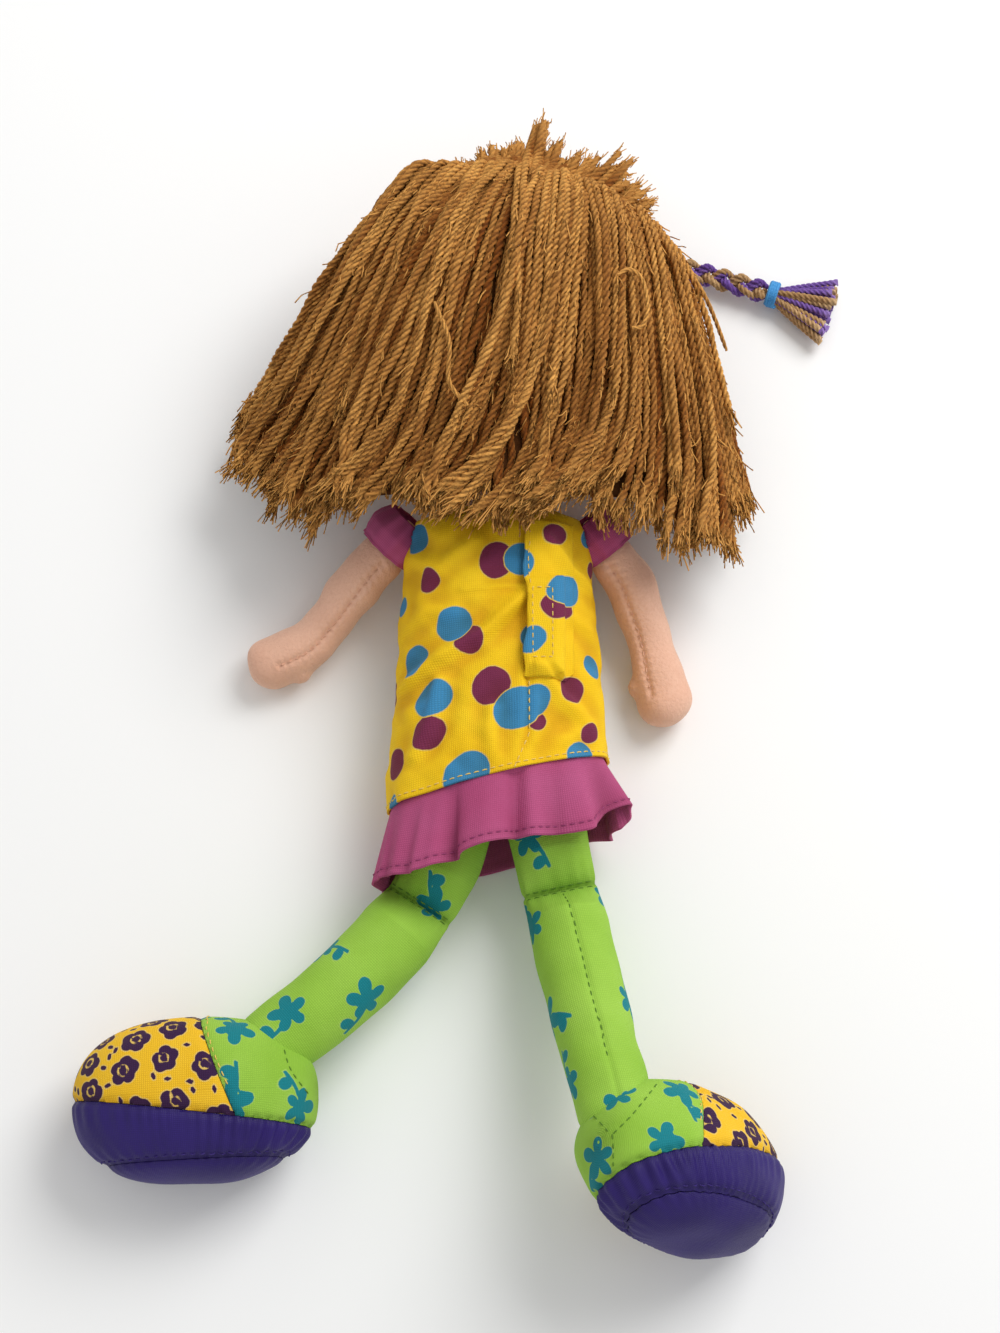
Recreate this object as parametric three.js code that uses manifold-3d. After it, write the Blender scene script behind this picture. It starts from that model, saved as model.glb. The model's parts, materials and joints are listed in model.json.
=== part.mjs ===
// A rag doll with yarn hair, a spotted dress and stuffed shoes, lying on its front as it was put down.
// Millimetres. +Z is up, off the table, and towards the doll's back; +Y runs from the feet to the head.
// The origin is on the table, under the middle of the dress front. The doll's own left is at -X.
import * as THREE from "three";
import { mergeVertices } from "three/addons/utils/BufferGeometryUtils.js";
import Module from "manifold-3d";

const wasm = await Module();
wasm.setup();

// Cloth, seams and the room between neighbours
const clothThickness = 0.9;
const skinThickness = 1.3;
const easeGap = 0.4; // between any two pieces that touch on the real doll
const stuffingGap = 0.8; // between a skin and its filling
const flatDepth = 0.5; // how deep the table presses each soft form flat
const overrunLength = 90; // how far a cutting solid reaches past what it cuts

// How many sides, steps and points the round forms have
const stuffingSidesShare = 0.7; // of its skin's sides
const jointDetail = 20;
const hingeSteps = 8;
const tabDetail = 12;
const thumbDetail = 10;
const torsoSides = 20;
const torsoCoreSides = 12;
const neckSides = 14;
const headSides = 20;
const headSteps = 11;
const headCoreSides = 14;
const headCoreSteps = 8;
const holeSides = 16;
const plaitSides = 8;
const tieSides = 12;
const limbSides = 12;
const sleeveSides = 16;
const footSides = 14;
const footSteps = 9;
const footCoreSides = 10;
const footCoreSteps = 7;
const flapColumns = 6;
const flapRows = 5;
const shortEndSteps = 2;
const endSteps = 3;

// Torso
const torsoHalfWidth = 29;
const torsoHalfDepth = 21;
const torsoBottomY = -43.5;
const torsoTopY = 48;
const torsoStationShares = [0, 0.08, 0.26, 0.46, 0.67, 0.88, 0.94, 1];
const torsoWidthShares = [0.78, 0.98, 1, 0.97, 0.97, 1.01, 0.98, 0.5];
const torsoDepthShares = [0.62, 0.92, 1, 1, 0.98, 0.9, 0.8, 0.55];

// Neck
const neckRadius = 10.5;
const neckPivotY = 49;
const neckLength = 36; // from its pivot to its end inside the head
const neckBack = 30; // degrees
const neckForward = 60;

// Head, a ball of cloth flattened from front to back
const headHalfWidth = 44;
const headHalfHeight = 50;
const headHalfDepth = 33.2;
const headCentreX = 3;
const headCentreY = 120;

// Hair, a sheet of yarn sewn along the crown from ear to ear, which falls over the back and spreads
const yarnLayer = 7;
const hairLocks = 13;
const lockColumns = 3;
const hairRows = 7;
const lockRelief = 1.2;
const hairSpan = 91; // half the width of the hem
const hairShift = -3;
const hairStand = 6.1; // from the back of the head to the middle of the sheet
const partingShare = 0.94; // of the head's half height, above its middle
const hemY = 36;
const archSweep = THREE.MathUtils.degToRad(80);
const hairSpanShares = [0.52, 0.69, 0.88, 1];
const hairCrestShares = [0.75, 1.01, 0.9, 0.8];
const hairSideShares = [0.46, 0.48, 0.25, 0.15];
const hairFallShares = [1, 0.7, 0.26, 0];
const hairLeftShares = [-0.14, 0, 0.2, 0.32]; // how far the left edge stays above the middle
const hairRightShares = [-0.12, 0, 0.1, 0.12];
const hemRaggedShare = 0.04;
const hemValleyShare = 1.6; // of that, where two locks meet

// Short ends of yarn that stand up from the front of the crown
const tuftLayer = 4;
const tuftTopZ = 43;
const tuftBendZ = 34;
const tuftTipZ = 27;
const tuftReachLength = 27; // of the tallest end, out from the head
const tuftStandShares = [1, 1.4];
const tuftFrom = THREE.MathUtils.degToRad(-26);
const tuftTo = THREE.MathUtils.degToRad(58);
const tuftValleyShare = 0.62;
const tuftReachShares = [0.2, 0.3, 0.42, 0.5, 1, 0.62, 0.55, 0.66, 0.96, 0.85, 0.8, 0.45];

// Plait from the side of the crown, its tie and its tassel
const plaitRadius = 4.7;
const plaitNeckRadius = 3.1;
const plaitRootSide = 27; // from the middle of the head to where the plait leaves it
const plaitRootRise = 29;
const plaitRootDrop = 18;
const plaitKneeX = 49;
const plaitKneeY = 152;
const plaitEndX = 97;
const plaitEndY = 139.6;
const plaitKneeShare = 0.4; // how much of its drop is left at the knee
const plaitBowShares = [0.4, 0.28]; // of the way from knee to end, across and along
const plaitSwellShare = 0.25; // of the plait, until it is full
const plaitLift = 0.8; // above the table
const plaitCrossings = 7;
const plaitRelief = 0.5;
const tieLength = 4.4;
const tieThickness = 1;
const tieStationShares = [0, 0.3, 0.7, 1];
const tasselLength = 21;
const tasselHalfWidth = 15;
const tasselHalfDepth = 4.4;
const tasselLocks = 7;
const tasselStationShares = [0, 0.25, 0.6, 1];
const tasselSpreadPower = 0.8;
const tasselRaggedShare = 0.125;

// Arms
const shoulderX = 33;
const shoulderY = 42;
const shoulderZ = 24;
const tabRadius = 5; // the gathered end of the arm, sewn into the armhole
const armRootRadius = 5;
const armRadius = 8.5;
const wristRadius = 7.7;
const handRadius = 9.5;
const upperArmLength = 21;
const foreArmLength = 28;
const handLength = 13; // up to where its end starts to round off
const elbowZ = 17;
const wristZ = 10.5;
const thumbRadius = 4.4;
const thumbReach = 6.2;
const armStationShares = [0, 0.12, 0.3, 0.5, 0.68, 0.84, 1];
const armRootShare = 0.35;
const armTaperShare = 0.4;
const palmShare = 0.8;
const armSides = {
  left: { side: -1, turns: [45, 40, 64] },
  right: { side: 1, turns: [38, 18, 12] },
};

// Sleeves
const sleeveGap = 1.1; // between arm and sleeve
const sleeveFromLength = 5.5; // along the arm from its root
const sleeveToLength = 13;
const sleeveFlareWidth = 1.5;
const armholeRadius = 14.6;

// Dress
const dressTopY = 47;
const dressBottomY = -47.4;
const dressSlant = 8; // how much lower the hem hangs at the left side than in the middle
const dressHalfWidth = 33.2;
const dressHalfDepth = 23.5;
const dressStationShares = [0, 0.17, 0.42, 0.64, 0.8, 0.9, 0.96, 1];
const dressWidthShares = [1.12, 1.1, 1.04, 1, 0.98, 0.99, 0.95, 0.7];
const dressDepthShares = [1.02, 1.02, 1, 1, 0.98, 0.95, 0.88, 0.72];
const clothSquareness = 2.3;
const dressColumns = 30;
const creaseRelief = 1.1;
const creaseWaves = 5;
const creaseDrift = 4; // how far the creases wander from the hem to the neck

// Ruffle
const ruffleDrop = 24;
const ruffleTuck = 4; // how far it runs up inside the dress, where it is sewn
const ruffleFolds = 9;
const ruffleRelief = 2.4;
const ruffleFlareShare = 1.13;
const ruffleColumns = 54;
const ruffleRows = 3;

// Back opening: a flap with a hook patch over a loop patch
const flapHingeX = 25;
const flapEdgeX = 9;
const flapTopY = 33;
const flapBottomY = -12;
const patchThickness = 0.7;
const patchWidth = 7;
const patchLength = 22;
const patchFromEdge = 2;
const patchFromBottom = 4;

// Legs
const hipX = 13;
const hipY = -49;
const hipSlant = 3; // the left hip lies this much lower than the middle
const hipZ = 21.5;
const hipRadius = 11;
const thighRadius = 13;
const thighLength = 37;
const creaseHalfWidth = 12;
const creaseHalfDepth = 0.4;
const creaseGap = 0.98; // leaves the flat ends room to fold past a right angle
const creaseRise = 0.8; // how fast the leg thickens away from its crease
const thighStationShares = [0.25, 0.52, 0.74, 0.9, 1];
const thighTaperPower = 4;
const shinRadius = 13.5;
const shinLength = 70; // seen from above
const ankleRadius = 12.4;
const shinStationShares = [0, 0.06, 0.13, 0.24, 0.42, 0.7, 1];
const shinSwellShare = 0.25; // of the shin, until it is full
const shinTaperPower = 3;
const shinBowShare = 1 / 3;
const legSides = {
  left: {
    side: -1,
    thighTurn: 21,
    shinTurn: 45,
    shinShare: 0.96, // of its length, as the slack stuffing lies
    creaseZ: 18,
    footDip: 2,
    footTip: 0,
    footYaw: 3,
  },
  right: {
    side: 1,
    thighTurn: 12,
    shinTurn: 12.5,
    shinShare: 1.08,
    creaseZ: 20,
    footDip: 45,
    footTip: 36,
    footYaw: 12,
  },
};

// Feet
const footHalfLength = 40;
const footHalfHeight = 27;
const footHalfWidth = 23;
const footSquareness = 2.3;
const ankleFromMiddle = 26; // towards the heel
const ankleAboveMiddle = 16;
const ankleFlex = 25; // degrees each way
const panelThickness = 1.6;
const bandTopDepth = 5; // below the middle of the foot
const bandTopSlope = 0.16;
const soleTopDepth = 20;
const vampSeamLength = 13; // behind the middle of the foot
const vampSeamSlope = 0.37;

const vec = (x, y, z) => new THREE.Vector3(x, y, z);
const along = (from, direction, distance) => from.clone().addScaledVector(direction, distance);
const mix = THREE.MathUtils.lerp;
const radians = THREE.MathUtils.degToRad;
const right = vec(1, 0, 0);
const headward = vec(0, 1, 0);
const upward = vec(0, 0, 1);

// The value of a row of shares at any place along its stations.
function shareAt(stations, shares, place) {
  let k = 0;
  while (k < stations.length - 2 && place > stations[k + 1]) k += 1;
  const part = (place - stations[k]) / (stations[k + 1] - stations[k]);
  return mix(shares[k], shares[k + 1], THREE.MathUtils.clamp(part, 0, 1));
}

// A solid from points and faces, turned the right way out.
function solid(points, faces) {
  const index = [];
  let volume = 0;
  for (let f = 0; f < faces.length; f += 3) {
    const [a, b, c] = [points[faces[f]], points[faces[f + 1]], points[faces[f + 2]]];
    volume += a.dot(b.clone().cross(c));
  }
  for (let f = 0; f < faces.length; f += 3) {
    if (volume < 0) index.push(faces[f], faces[f + 2], faces[f + 1]);
    else index.push(faces[f], faces[f + 1], faces[f + 2]);
  }
  return solidFrom(new THREE.BufferGeometry().setFromPoints(points).setIndex(index));
}

function solidFrom(geometry) {
  geometry.deleteAttribute("normal");
  geometry.deleteAttribute("uv");
  const merged = mergeVertices(geometry);
  return new wasm.Manifold(
    new wasm.Mesh({
      numProp: 3,
      vertProperties: merged.attributes.position.array,
      triVerts: new Uint32Array(merged.index.array),
    }),
  );
}

// The named mesh of a solid.
function piece(name, made, material) {
  const { vertProperties, triVerts } = made.getMesh();
  const geometry = new THREE.BufferGeometry();
  geometry.setAttribute("position", new THREE.BufferAttribute(new Float32Array(vertProperties), 3));
  geometry.setIndex(new THREE.BufferAttribute(new Uint32Array(triVerts), 1));
  geometry.computeVertexNormals();
  const mesh = new THREE.Mesh(geometry, material);
  mesh.name = name;
  return mesh;
}

// A closed skin over rings of equal count, capped at both ends, or joined end to end where closed.
function loft(rings, closed = false) {
  const count = rings[0].length;
  const points = rings.flat();
  const faces = [];
  const last = closed ? rings.length : rings.length - 1;
  for (let r = 0; r < last; r += 1) {
    const here = r * count;
    const next = ((r + 1) % rings.length) * count;
    for (let s = 0; s < count; s += 1) {
      const t = (s + 1) % count;
      faces.push(here + s, here + t, next + s, here + t, next + t, next + s);
    }
  }
  if (closed) return solid(points, faces);
  for (const r of [0, rings.length - 1]) {
    const middle = rings[r].reduce((sum, p) => sum.add(p), vec(0, 0, 0)).divideScalar(count);
    const tip = points.push(middle) - 1;
    for (let s = 0; s < count; s += 1) {
      const t = (s + 1) % count;
      if (r === 0) faces.push(tip, r * count + t, r * count + s);
      else faces.push(tip, r * count + s, r * count + t);
    }
  }
  return solid(points, faces);
}

// A sheet over a grid of points, with a half thickness on each side that may change along it.
function sheet(grid, outerHalf, innerHalf) {
  const rows = grid.length;
  const columns = grid[0].length;
  const clamp = THREE.MathUtils.clamp;
  const at = (r, c) => grid[clamp(r, 0, rows - 1)][clamp(c, 0, columns - 1)];
  const sides = [[], []];
  grid.forEach((row, r) =>
    row.forEach((p, c) => {
      const acrossGrid = at(r, c + 1).clone().sub(at(r, c - 1));
      const downGrid = at(r + 1, c).clone().sub(at(r - 1, c));
      const normal = acrossGrid.cross(downGrid).normalize();
      sides[0].push(along(p, normal, -outerHalf(r, c)));
      sides[1].push(along(p, normal, innerHalf));
    }),
  );
  const faces = [];
  const quad = (a, b, c, d) => faces.push(a, b, c, a, c, d);
  const outer = (r, c) => r * columns + c;
  const inner = (r, c) => rows * columns + outer(r, c);
  for (let r = 0; r < rows - 1; r += 1) {
    for (let c = 0; c < columns - 1; c += 1) {
      quad(outer(r, c), outer(r, c + 1), outer(r + 1, c + 1), outer(r + 1, c));
      quad(inner(r, c), inner(r + 1, c), inner(r + 1, c + 1), inner(r, c + 1));
    }
    quad(outer(r, 0), outer(r + 1, 0), inner(r + 1, 0), inner(r, 0));
    const end = columns - 1;
    quad(outer(r + 1, end), outer(r, end), inner(r, end), inner(r + 1, end));
  }
  for (let c = 0; c < columns - 1; c += 1) {
    quad(outer(0, c + 1), outer(0, c), inner(0, c), inner(0, c + 1));
    const end = rows - 1;
    quad(outer(end, c), outer(end, c + 1), inner(end, c + 1), inner(end, c));
  }
  return solid(sides.flat(), faces);
}

const ball = (centre, radius, detail) =>
  solidFrom(new THREE.SphereGeometry(radius, detail, detail / 2).translate(...centre.toArray()));

// A rounded ring about a middle point, in the plane of two directions, kept a given height above the table.
function ring(middle, wideways, deepways, wide, deep, sides, squareness = 2, floor = 0) {
  return Array.from({ length: sides }, (_, s) => {
    const angle = (2 * Math.PI * (s + 0.5)) / sides;
    const c = Math.cos(angle);
    const d = Math.sin(angle);
    const across = Math.sign(c) * Math.abs(c) ** (2 / squareness) * wide;
    const over = Math.sign(d) * Math.abs(d) ** (2 / squareness) * deep;
    const p = along(along(middle, wideways, across), deepways, over);
    return p.setZ(Math.max(p.z, floor));
  });
}

// Rings along a curve. A station has its place on the curve as a share, an offset past it, and half sizes.
function sweep(curve, stations, sides, inset = 0) {
  return stations.map(({ at, offset = 0, wide, deep = wide }) => {
    const heading = curve.getTangentAt(at);
    const middle = along(curve.getPointAt(at), heading, offset);
    const wideways = heading.clone().cross(upward).normalize();
    const deepways = wideways.clone().cross(heading);
    const least = creaseHalfDepth / 2;
    const [w, d] = [Math.max(wide - inset, least), Math.max(deep - inset, least)];
    return ring(middle, wideways, deepways, w, d, sides, 2, inset);
  });
}

// Stations that round off the start or the end of a limb.
function roundEnd(at, radius, steps, mouth = 0) {
  const made = [];
  for (let k = 1; k <= steps; k += 1) {
    const angle = (Math.PI / 2) * (k / (steps + 0.4));
    const wide = radius * Math.cos(angle);
    if (wide < mouth) break;
    made.push({ at, offset: (at === 0 ? -1 : 1) * Math.sin(angle) * radius, wide });
  }
  return at === 0 ? made.reverse() : made;
}

// The same stations with the end, or the start too, drawn back inside the skin.
function drawnBack(stations, depth, start) {
  return stations.map((s, k) => {
    const offset = s.offset || 0;
    if (k === stations.length - 1) return { ...s, offset: offset - depth };
    return k === 0 ? { ...s, offset: offset + start } : s;
  });
}

// Skin and filling of a limb. The skin is open at the start, where the limb is sewn in.
function stuffed(curve, stations, sides, bump) {
  let outer = loft(sweep(curve, stations, sides));
  if (bump) outer = outer.add(bump);
  const inner = drawnBack(stations, skinThickness, -skinThickness);
  const hollow = loft(sweep(curve, inner, sides, skinThickness));
  const inset = skinThickness + stuffingGap;
  const coreSides = Math.round(sides * stuffingSidesShare);
  const core = loft(sweep(curve, drawnBack(stations, inset, 0), coreSides, inset));
  return { skin: outer.subtract(hollow), core };
}

// The room that a round limb sweeps as it turns about a hinge at its end, between two angles in degrees.
function hingeRoom(pivot, axis, start, from, to, radius) {
  const [low, high] = [radians(from), radians(to)];
  const quarter = Math.PI / 2;
  const spot = (distance, angle, out, side) =>
    new THREE.Vector2(
      distance * Math.cos(angle) + out * Math.cos(angle + side),
      distance * Math.sin(angle) + out * Math.sin(angle + side),
    );
  const outline = [spot(overrunLength, low, radius, -quarter)];
  for (let k = 0; k <= hingeSteps; k += 1) {
    outline.push(spot(0, mix(low + 3 * quarter, high + quarter, k / hingeSteps), radius, 0));
  }
  outline.push(spot(overrunLength, high, radius, quarter), spot(2 * overrunLength, (low + high) / 2, 0, 0));
  const flat = new THREE.Shape(outline);
  const made = new THREE.ExtrudeGeometry(flat, { depth: 2 * radius, bevelEnabled: false });
  made.translate(0, 0, -radius);
  const frame = new THREE.Matrix4().makeBasis(start, axis.clone().cross(start), axis).setPosition(pivot);
  return solidFrom(made.applyMatrix4(frame));
}

const cutAll = (made, tools) => tools.reduce((left, tool) => left.subtract(tool), made);

// Heading in the table's plane, turned outwards by degrees from the feet's direction.
const turned = (side, degrees) => vec(side * Math.sin(radians(degrees)), -Math.cos(radians(degrees)), 0);

const cloth = (color, roughness = 0.85) =>
  new THREE.MeshStandardMaterial({ color, roughness, metalness: 0 });
const materials = {
  skin: cloth(0xe0b090, 0.95),
  filling: cloth(0xf4f2ea, 1),
  yarn: cloth(0xb5793a, 0.95),
  plait: cloth(0x9a78b4, 0.95),
  tie: cloth(0x2f86c4, 0.5),
  dress: cloth(0xf2c417),
  ruffle: cloth(0xb95a94),
  leggings: cloth(0x8fc048),
  shoe: cloth(0x3f2a78, 0.7),
  vamp: cloth(0xe8b427, 0.6),
  patch: cloth(0xe9d26a, 0.95),
};
const doll = new THREE.Group();
const add = (name, made, material) => doll.add(piece(name, made, material));

// Torso: a cloth skin over its filling, open at the neck, the arms and the legs
const stuffingInset = skinThickness + stuffingGap;
const torsoFloor = clothThickness + easeGap;
const torsoAxisZ = torsoHalfDepth + torsoFloor - flatDepth;

function torsoRings(inset, sides) {
  return torsoStationShares.map((share, k) => {
    const wide = torsoHalfWidth * torsoWidthShares[k] - inset;
    const deep = torsoHalfDepth * torsoDepthShares[k] - inset;
    const y = mix(torsoBottomY, torsoTopY, share) + (k === 0 ? inset : 0);
    const middle = vec(0, y, torsoAxisZ);
    return ring(middle, right, upward, wide, deep, sides, clothSquareness, torsoFloor + inset);
  });
}

const neckPivot = vec(0, neckPivotY, torsoAxisZ);
const shoulderPivot = (side) => vec(side * shoulderX, shoulderY, shoulderZ);
const hipPivot = (side) => vec(side * hipX, hipY + side * hipSlant, hipZ);
const neckAxis = vec(-1, 0, 0);
const neckRoom = (gap) =>
  hingeRoom(neckPivot, neckAxis, headward, -neckBack, neckForward, neckRadius + gap);
const sockets = (gap) => [
  neckRoom(gap),
  ...[-1, 1].map((side) => ball(shoulderPivot(side), tabRadius + gap, jointDetail)),
  ...[-1, 1].map((side) => ball(hipPivot(side), hipRadius + gap, jointDetail)),
];
const torsoOuter = torsoRings(0, torsoSides);
const torsoInner = torsoRings(skinThickness, torsoSides);
torsoInner.push(torsoInner.at(-1).map((p) => along(p, headward, skinThickness)));
const torsoSkin = loft(torsoOuter).subtract(loft(torsoInner));
add("torso_skin", cutAll(torsoSkin, sockets(easeGap)), materials.skin);
const torsoCore = loft(torsoRings(stuffingInset, torsoCoreSides));
add("torso_stuffing", cutAll(torsoCore, sockets(2 * easeGap)), materials.filling);

// Neck: a short stuffed tube whose round lower end turns in the torso and whose upper end sits in the head
const neckLine = new THREE.LineCurve3(neckPivot, along(neckPivot, headward, neckLength));
const neckStations = [
  ...roundEnd(0, neckRadius, endSteps, neckRadius / 2),
  { at: 0, wide: neckRadius },
  { at: 1, wide: neckRadius },
];
const neck = stuffed(neckLine, neckStations, neckSides);
add("neck_skin", neck.skin, materials.skin);
add("neck_stuffing", neck.core, materials.filling);

// Head: a stuffed ball, pressed flat at the face, with a hole for the neck
const headCentre = vec(headCentreX, headCentreY, headHalfDepth - flatDepth);

function headRings(inset, sides, steps) {
  return Array.from({ length: steps }, (_, k) => {
    const angle = Math.PI * ((k + 0.5) / steps - 0.5);
    const middle = along(headCentre, headward, (headHalfHeight - inset) * Math.sin(angle));
    const wide = (headHalfWidth - inset) * Math.cos(angle);
    const deep = (headHalfDepth - inset) * Math.cos(angle);
    return ring(middle, right, upward, wide, deep, sides, 2, inset);
  });
}

const neckHoleLine = new THREE.LineCurve3(neckPivot, along(neckPivot, headward, neckLength + easeGap));
const neckHole = (gap) => {
  const wide = neckRadius + gap;
  return loft(sweep(neckHoleLine, [{ at: 0, wide }, { at: 1, offset: gap - easeGap, wide }], holeSides));
};
const headOuter = loft(headRings(0, headSides, headSteps));
const headSkin = headOuter.subtract(loft(headRings(skinThickness, headSides, headSteps)));
add("head_skin", headSkin.subtract(neckHole(easeGap)), materials.skin);
const headCore = loft(headRings(stuffingInset, headCoreSides, headCoreSteps));
add("head_stuffing", headCore.subtract(neckHole(2 * easeGap)), materials.filling);

// Hair: arches of yarn from the crown to the hem, joined into one ragged sheet
const hairHeight = 2 * headHalfDepth - flatDepth + hairStand;
const partingY = headCentreY + headHalfHeight * partingShare;
const hairArches = hairSpanShares.map((_, k) => (u) => {
  const angle = u * archSweep;
  const bow = (Math.cos(angle) - Math.cos(archSweep)) / (1 - Math.cos(archSweep));
  const fall = partingY - hemY;
  const side = hairHeight * hairSideShares[k];
  const crest = hairHeight * hairCrestShares[k];
  const lift = (u < 0 ? hairLeftShares[k] : hairRightShares[k]) * fall;
  return vec(
    hairShift * (1 - hairFallShares[k]) + headCentreX * hairFallShares[k] +
      (hairSpan * hairSpanShares[k] * Math.sin(angle)) / Math.sin(archSweep),
    hemY + hairFallShares[k] * fall + lift * u ** 4,
    mix(side, crest, bow),
  );
});
const hairColumns = hairLocks * lockColumns;
const hairGrid = Array.from({ length: hairRows + 1 }, (_, r) =>
  Array.from({ length: hairColumns + 1 }, (_, c) => {
    const lock = Math.floor(c / lockColumns);
    const valley = c % lockColumns === 0 ? hemValleyShare : 1;
    const ragged = hemRaggedShare * Math.abs(Math.sin(lock * lock + 1)) * valley;
    const fallLine = new THREE.CatmullRomCurve3(hairArches.map((arch) => arch((2 * c) / hairColumns - 1)));
    return fallLine.getPoint((r / hairRows) * (1 - ragged));
  }),
);
const lockHalf = (r, c) => yarnLayer / 2 - (c % lockColumns === 0 ? (lockRelief * r) / hairRows : 0);
add("hair_back", sheet(hairGrid, lockHalf, yarnLayer / 2), materials.yarn);

// Short ends: they leave the crown seam, bend over the front of the crown and stand out past it
function outFromHead(angle, z, distance) {
  const level = Math.sqrt(1 - ((z - headCentre.z) / headHalfDepth) ** 2);
  const out = vec(Math.sin(angle), Math.cos(angle), 0);
  const surface = vec(headHalfWidth * level * out.x, headHalfHeight * level * out.y, z);
  return along(surface.add(vec(headCentreX, headCentreY, 0)), out, distance);
}

const tuftColumns = 2 * tuftReachShares.length;
const tuftStand = tuftLayer / 2 + easeGap;
const tuftGrid = [tuftTopZ, tuftBendZ, tuftTipZ].map((z, r) =>
  Array.from({ length: tuftColumns + 1 }, (_, c) => {
    const angle = mix(tuftFrom, tuftTo, c / tuftColumns);
    const lock = Math.min(Math.floor(c / 2), tuftReachShares.length - 1);
    const reach = tuftReachLength * tuftReachShares[lock] * (c % 2 === 0 ? tuftValleyShare : 1);
    const tip = Math.max(reach, 2 * tuftStand);
    return outFromHead(angle, z, r < 2 ? tuftStand * tuftStandShares[r] : tip);
  }),
);
add("hair_short_ends", sheet(tuftGrid, () => tuftLayer / 2, tuftLayer / 2), materials.yarn);

// Plait: it leaves the head on a round end, so that it swings, and lies out over the table
const plaitStart = vec(plaitRootSide, plaitRootRise, -plaitRootDrop);
const headSizes = vec(headHalfWidth, headHalfHeight, headHalfDepth);
plaitStart.divideScalar(plaitStart.clone().divide(headSizes).length());
const plaitOut = plaitStart.clone().divide(headSizes).divide(headSizes).normalize();
const plaitPivot = along(plaitStart.add(headCentre), plaitOut, plaitNeckRadius + easeGap / 4);
const plaitZ = plaitRadius + plaitRelief + plaitLift;
const plaitLine = new THREE.CatmullRomCurve3([
  plaitPivot,
  vec(plaitKneeX, plaitKneeY, mix(plaitZ, plaitPivot.z, plaitKneeShare)),
  vec(
    mix(plaitKneeX, plaitEndX, plaitBowShares[0]),
    mix(plaitKneeY, plaitEndY, plaitBowShares[1]),
    plaitZ,
  ),
  vec(plaitEndX, plaitEndY, plaitZ),
]);
const plaitSteps = 4 * plaitCrossings;
const plaitStations = Array.from({ length: plaitSteps + 1 }, (_, k) => {
  const at = k / plaitSteps;
  const swell = plaitRelief * Math.cos(at * plaitCrossings * 2 * Math.PI + Math.PI);
  const full = Math.min(1, at / plaitSwellShare);
  const wide = mix(plaitNeckRadius, plaitRadius, full) + full * swell;
  return { at, wide, deep: wide };
});
const plaitEnd = roundEnd(0, plaitNeckRadius, shortEndSteps);
const plait = sweep(plaitLine, [...plaitEnd, ...plaitStations], plaitSides);
add("braid", loft(plait), materials.plait);

const plaitHeading = plaitLine.getTangentAt(1);
const tieStart = along(plaitLine.getPointAt(1), plaitHeading, easeGap);
const tieEnd = along(tieStart, plaitHeading, tieLength);
const tieRadius = plaitRadius - tieThickness / 2;
const tieLine = new THREE.LineCurve3(tieStart, tieEnd);
const tieStations = tieStationShares.map((at) => ({
  at,
  wide: tieRadius + (at === 0 || at === 1 ? 0 : tieThickness),
}));
add("braid_tie", loft(sweep(tieLine, tieStations, tieSides)), materials.tie);

const tasselLine = new THREE.LineCurve3(
  along(tieEnd, plaitHeading, easeGap),
  along(tieEnd, plaitHeading, easeGap + tasselLength),
);
const tasselRings = tasselStationShares.map((at) => {
  const middle = tasselLine.getPointAt(at);
  const sideways = plaitHeading.clone().cross(upward);
  const sides = 4 * tasselLocks;
  const wide = mix(tieRadius, tasselHalfWidth, at ** tasselSpreadPower);
  const deep = mix(tieRadius, tasselHalfDepth, at);
  return ring(middle, sideways, upward, wide, deep, sides, 2, plaitLift).map((p, s) =>
    along(p, plaitHeading, at === 1 && s % 4 > 1 ? -tasselLength * tasselRaggedShare : 0),
  );
});
add("braid_tassel", loft(tasselRings), materials.plait);

// Dress: a tube of cloth with a slanting hem, scooped at the neck and open at the arms
const dressAxisZ = dressHalfDepth - flatDepth;

function dressRing(share, sides, inset, drop = 0, flareShare = 1, waves = () => 0) {
  const wide = dressHalfWidth * shareAt(dressStationShares, dressWidthShares, share) * flareShare - inset;
  const deep = dressHalfDepth * shareAt(dressStationShares, dressDepthShares, share) - inset;
  const middle = vec(0, 0, dressAxisZ);
  const flat = ring(middle, right, upward, wide, deep, sides, clothSquareness, -overrunLength);
  return flat.map((p, s) => {
    const wave = waves((2 * Math.PI * (s + 0.5)) / sides);
    const out = vec(p.x, 0, p.z - dressAxisZ).normalize();
    const moved = along(p, out, wave);
    const slant = (1 - share) * dressSlant * (p.x / dressHalfWidth);
    return moved.setY(mix(dressBottomY, dressTopY, share) + slant - drop).setZ(Math.max(moved.z, inset));
  });
}

const creases = (share) => (angle) =>
  creaseRelief *
  (1 - share) *
  Math.max(0, Math.sin(angle)) *
  Math.sin(creaseWaves * angle + creaseDrift * share);
const dressRings = (inset) =>
  dressStationShares.map((share) => dressRing(share, dressColumns, inset, 0, 1, creases(share)));
const dressTube = loft([...dressRings(0), ...dressRings(clothThickness).reverse()], true);
const armholes = [-1, 1].map((side) => ball(shoulderPivot(side), armholeRadius, jointDetail));
add("dress_body", cutAll(dressTube, [neckRoom(easeGap), ...armholes]), materials.dress);

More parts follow.
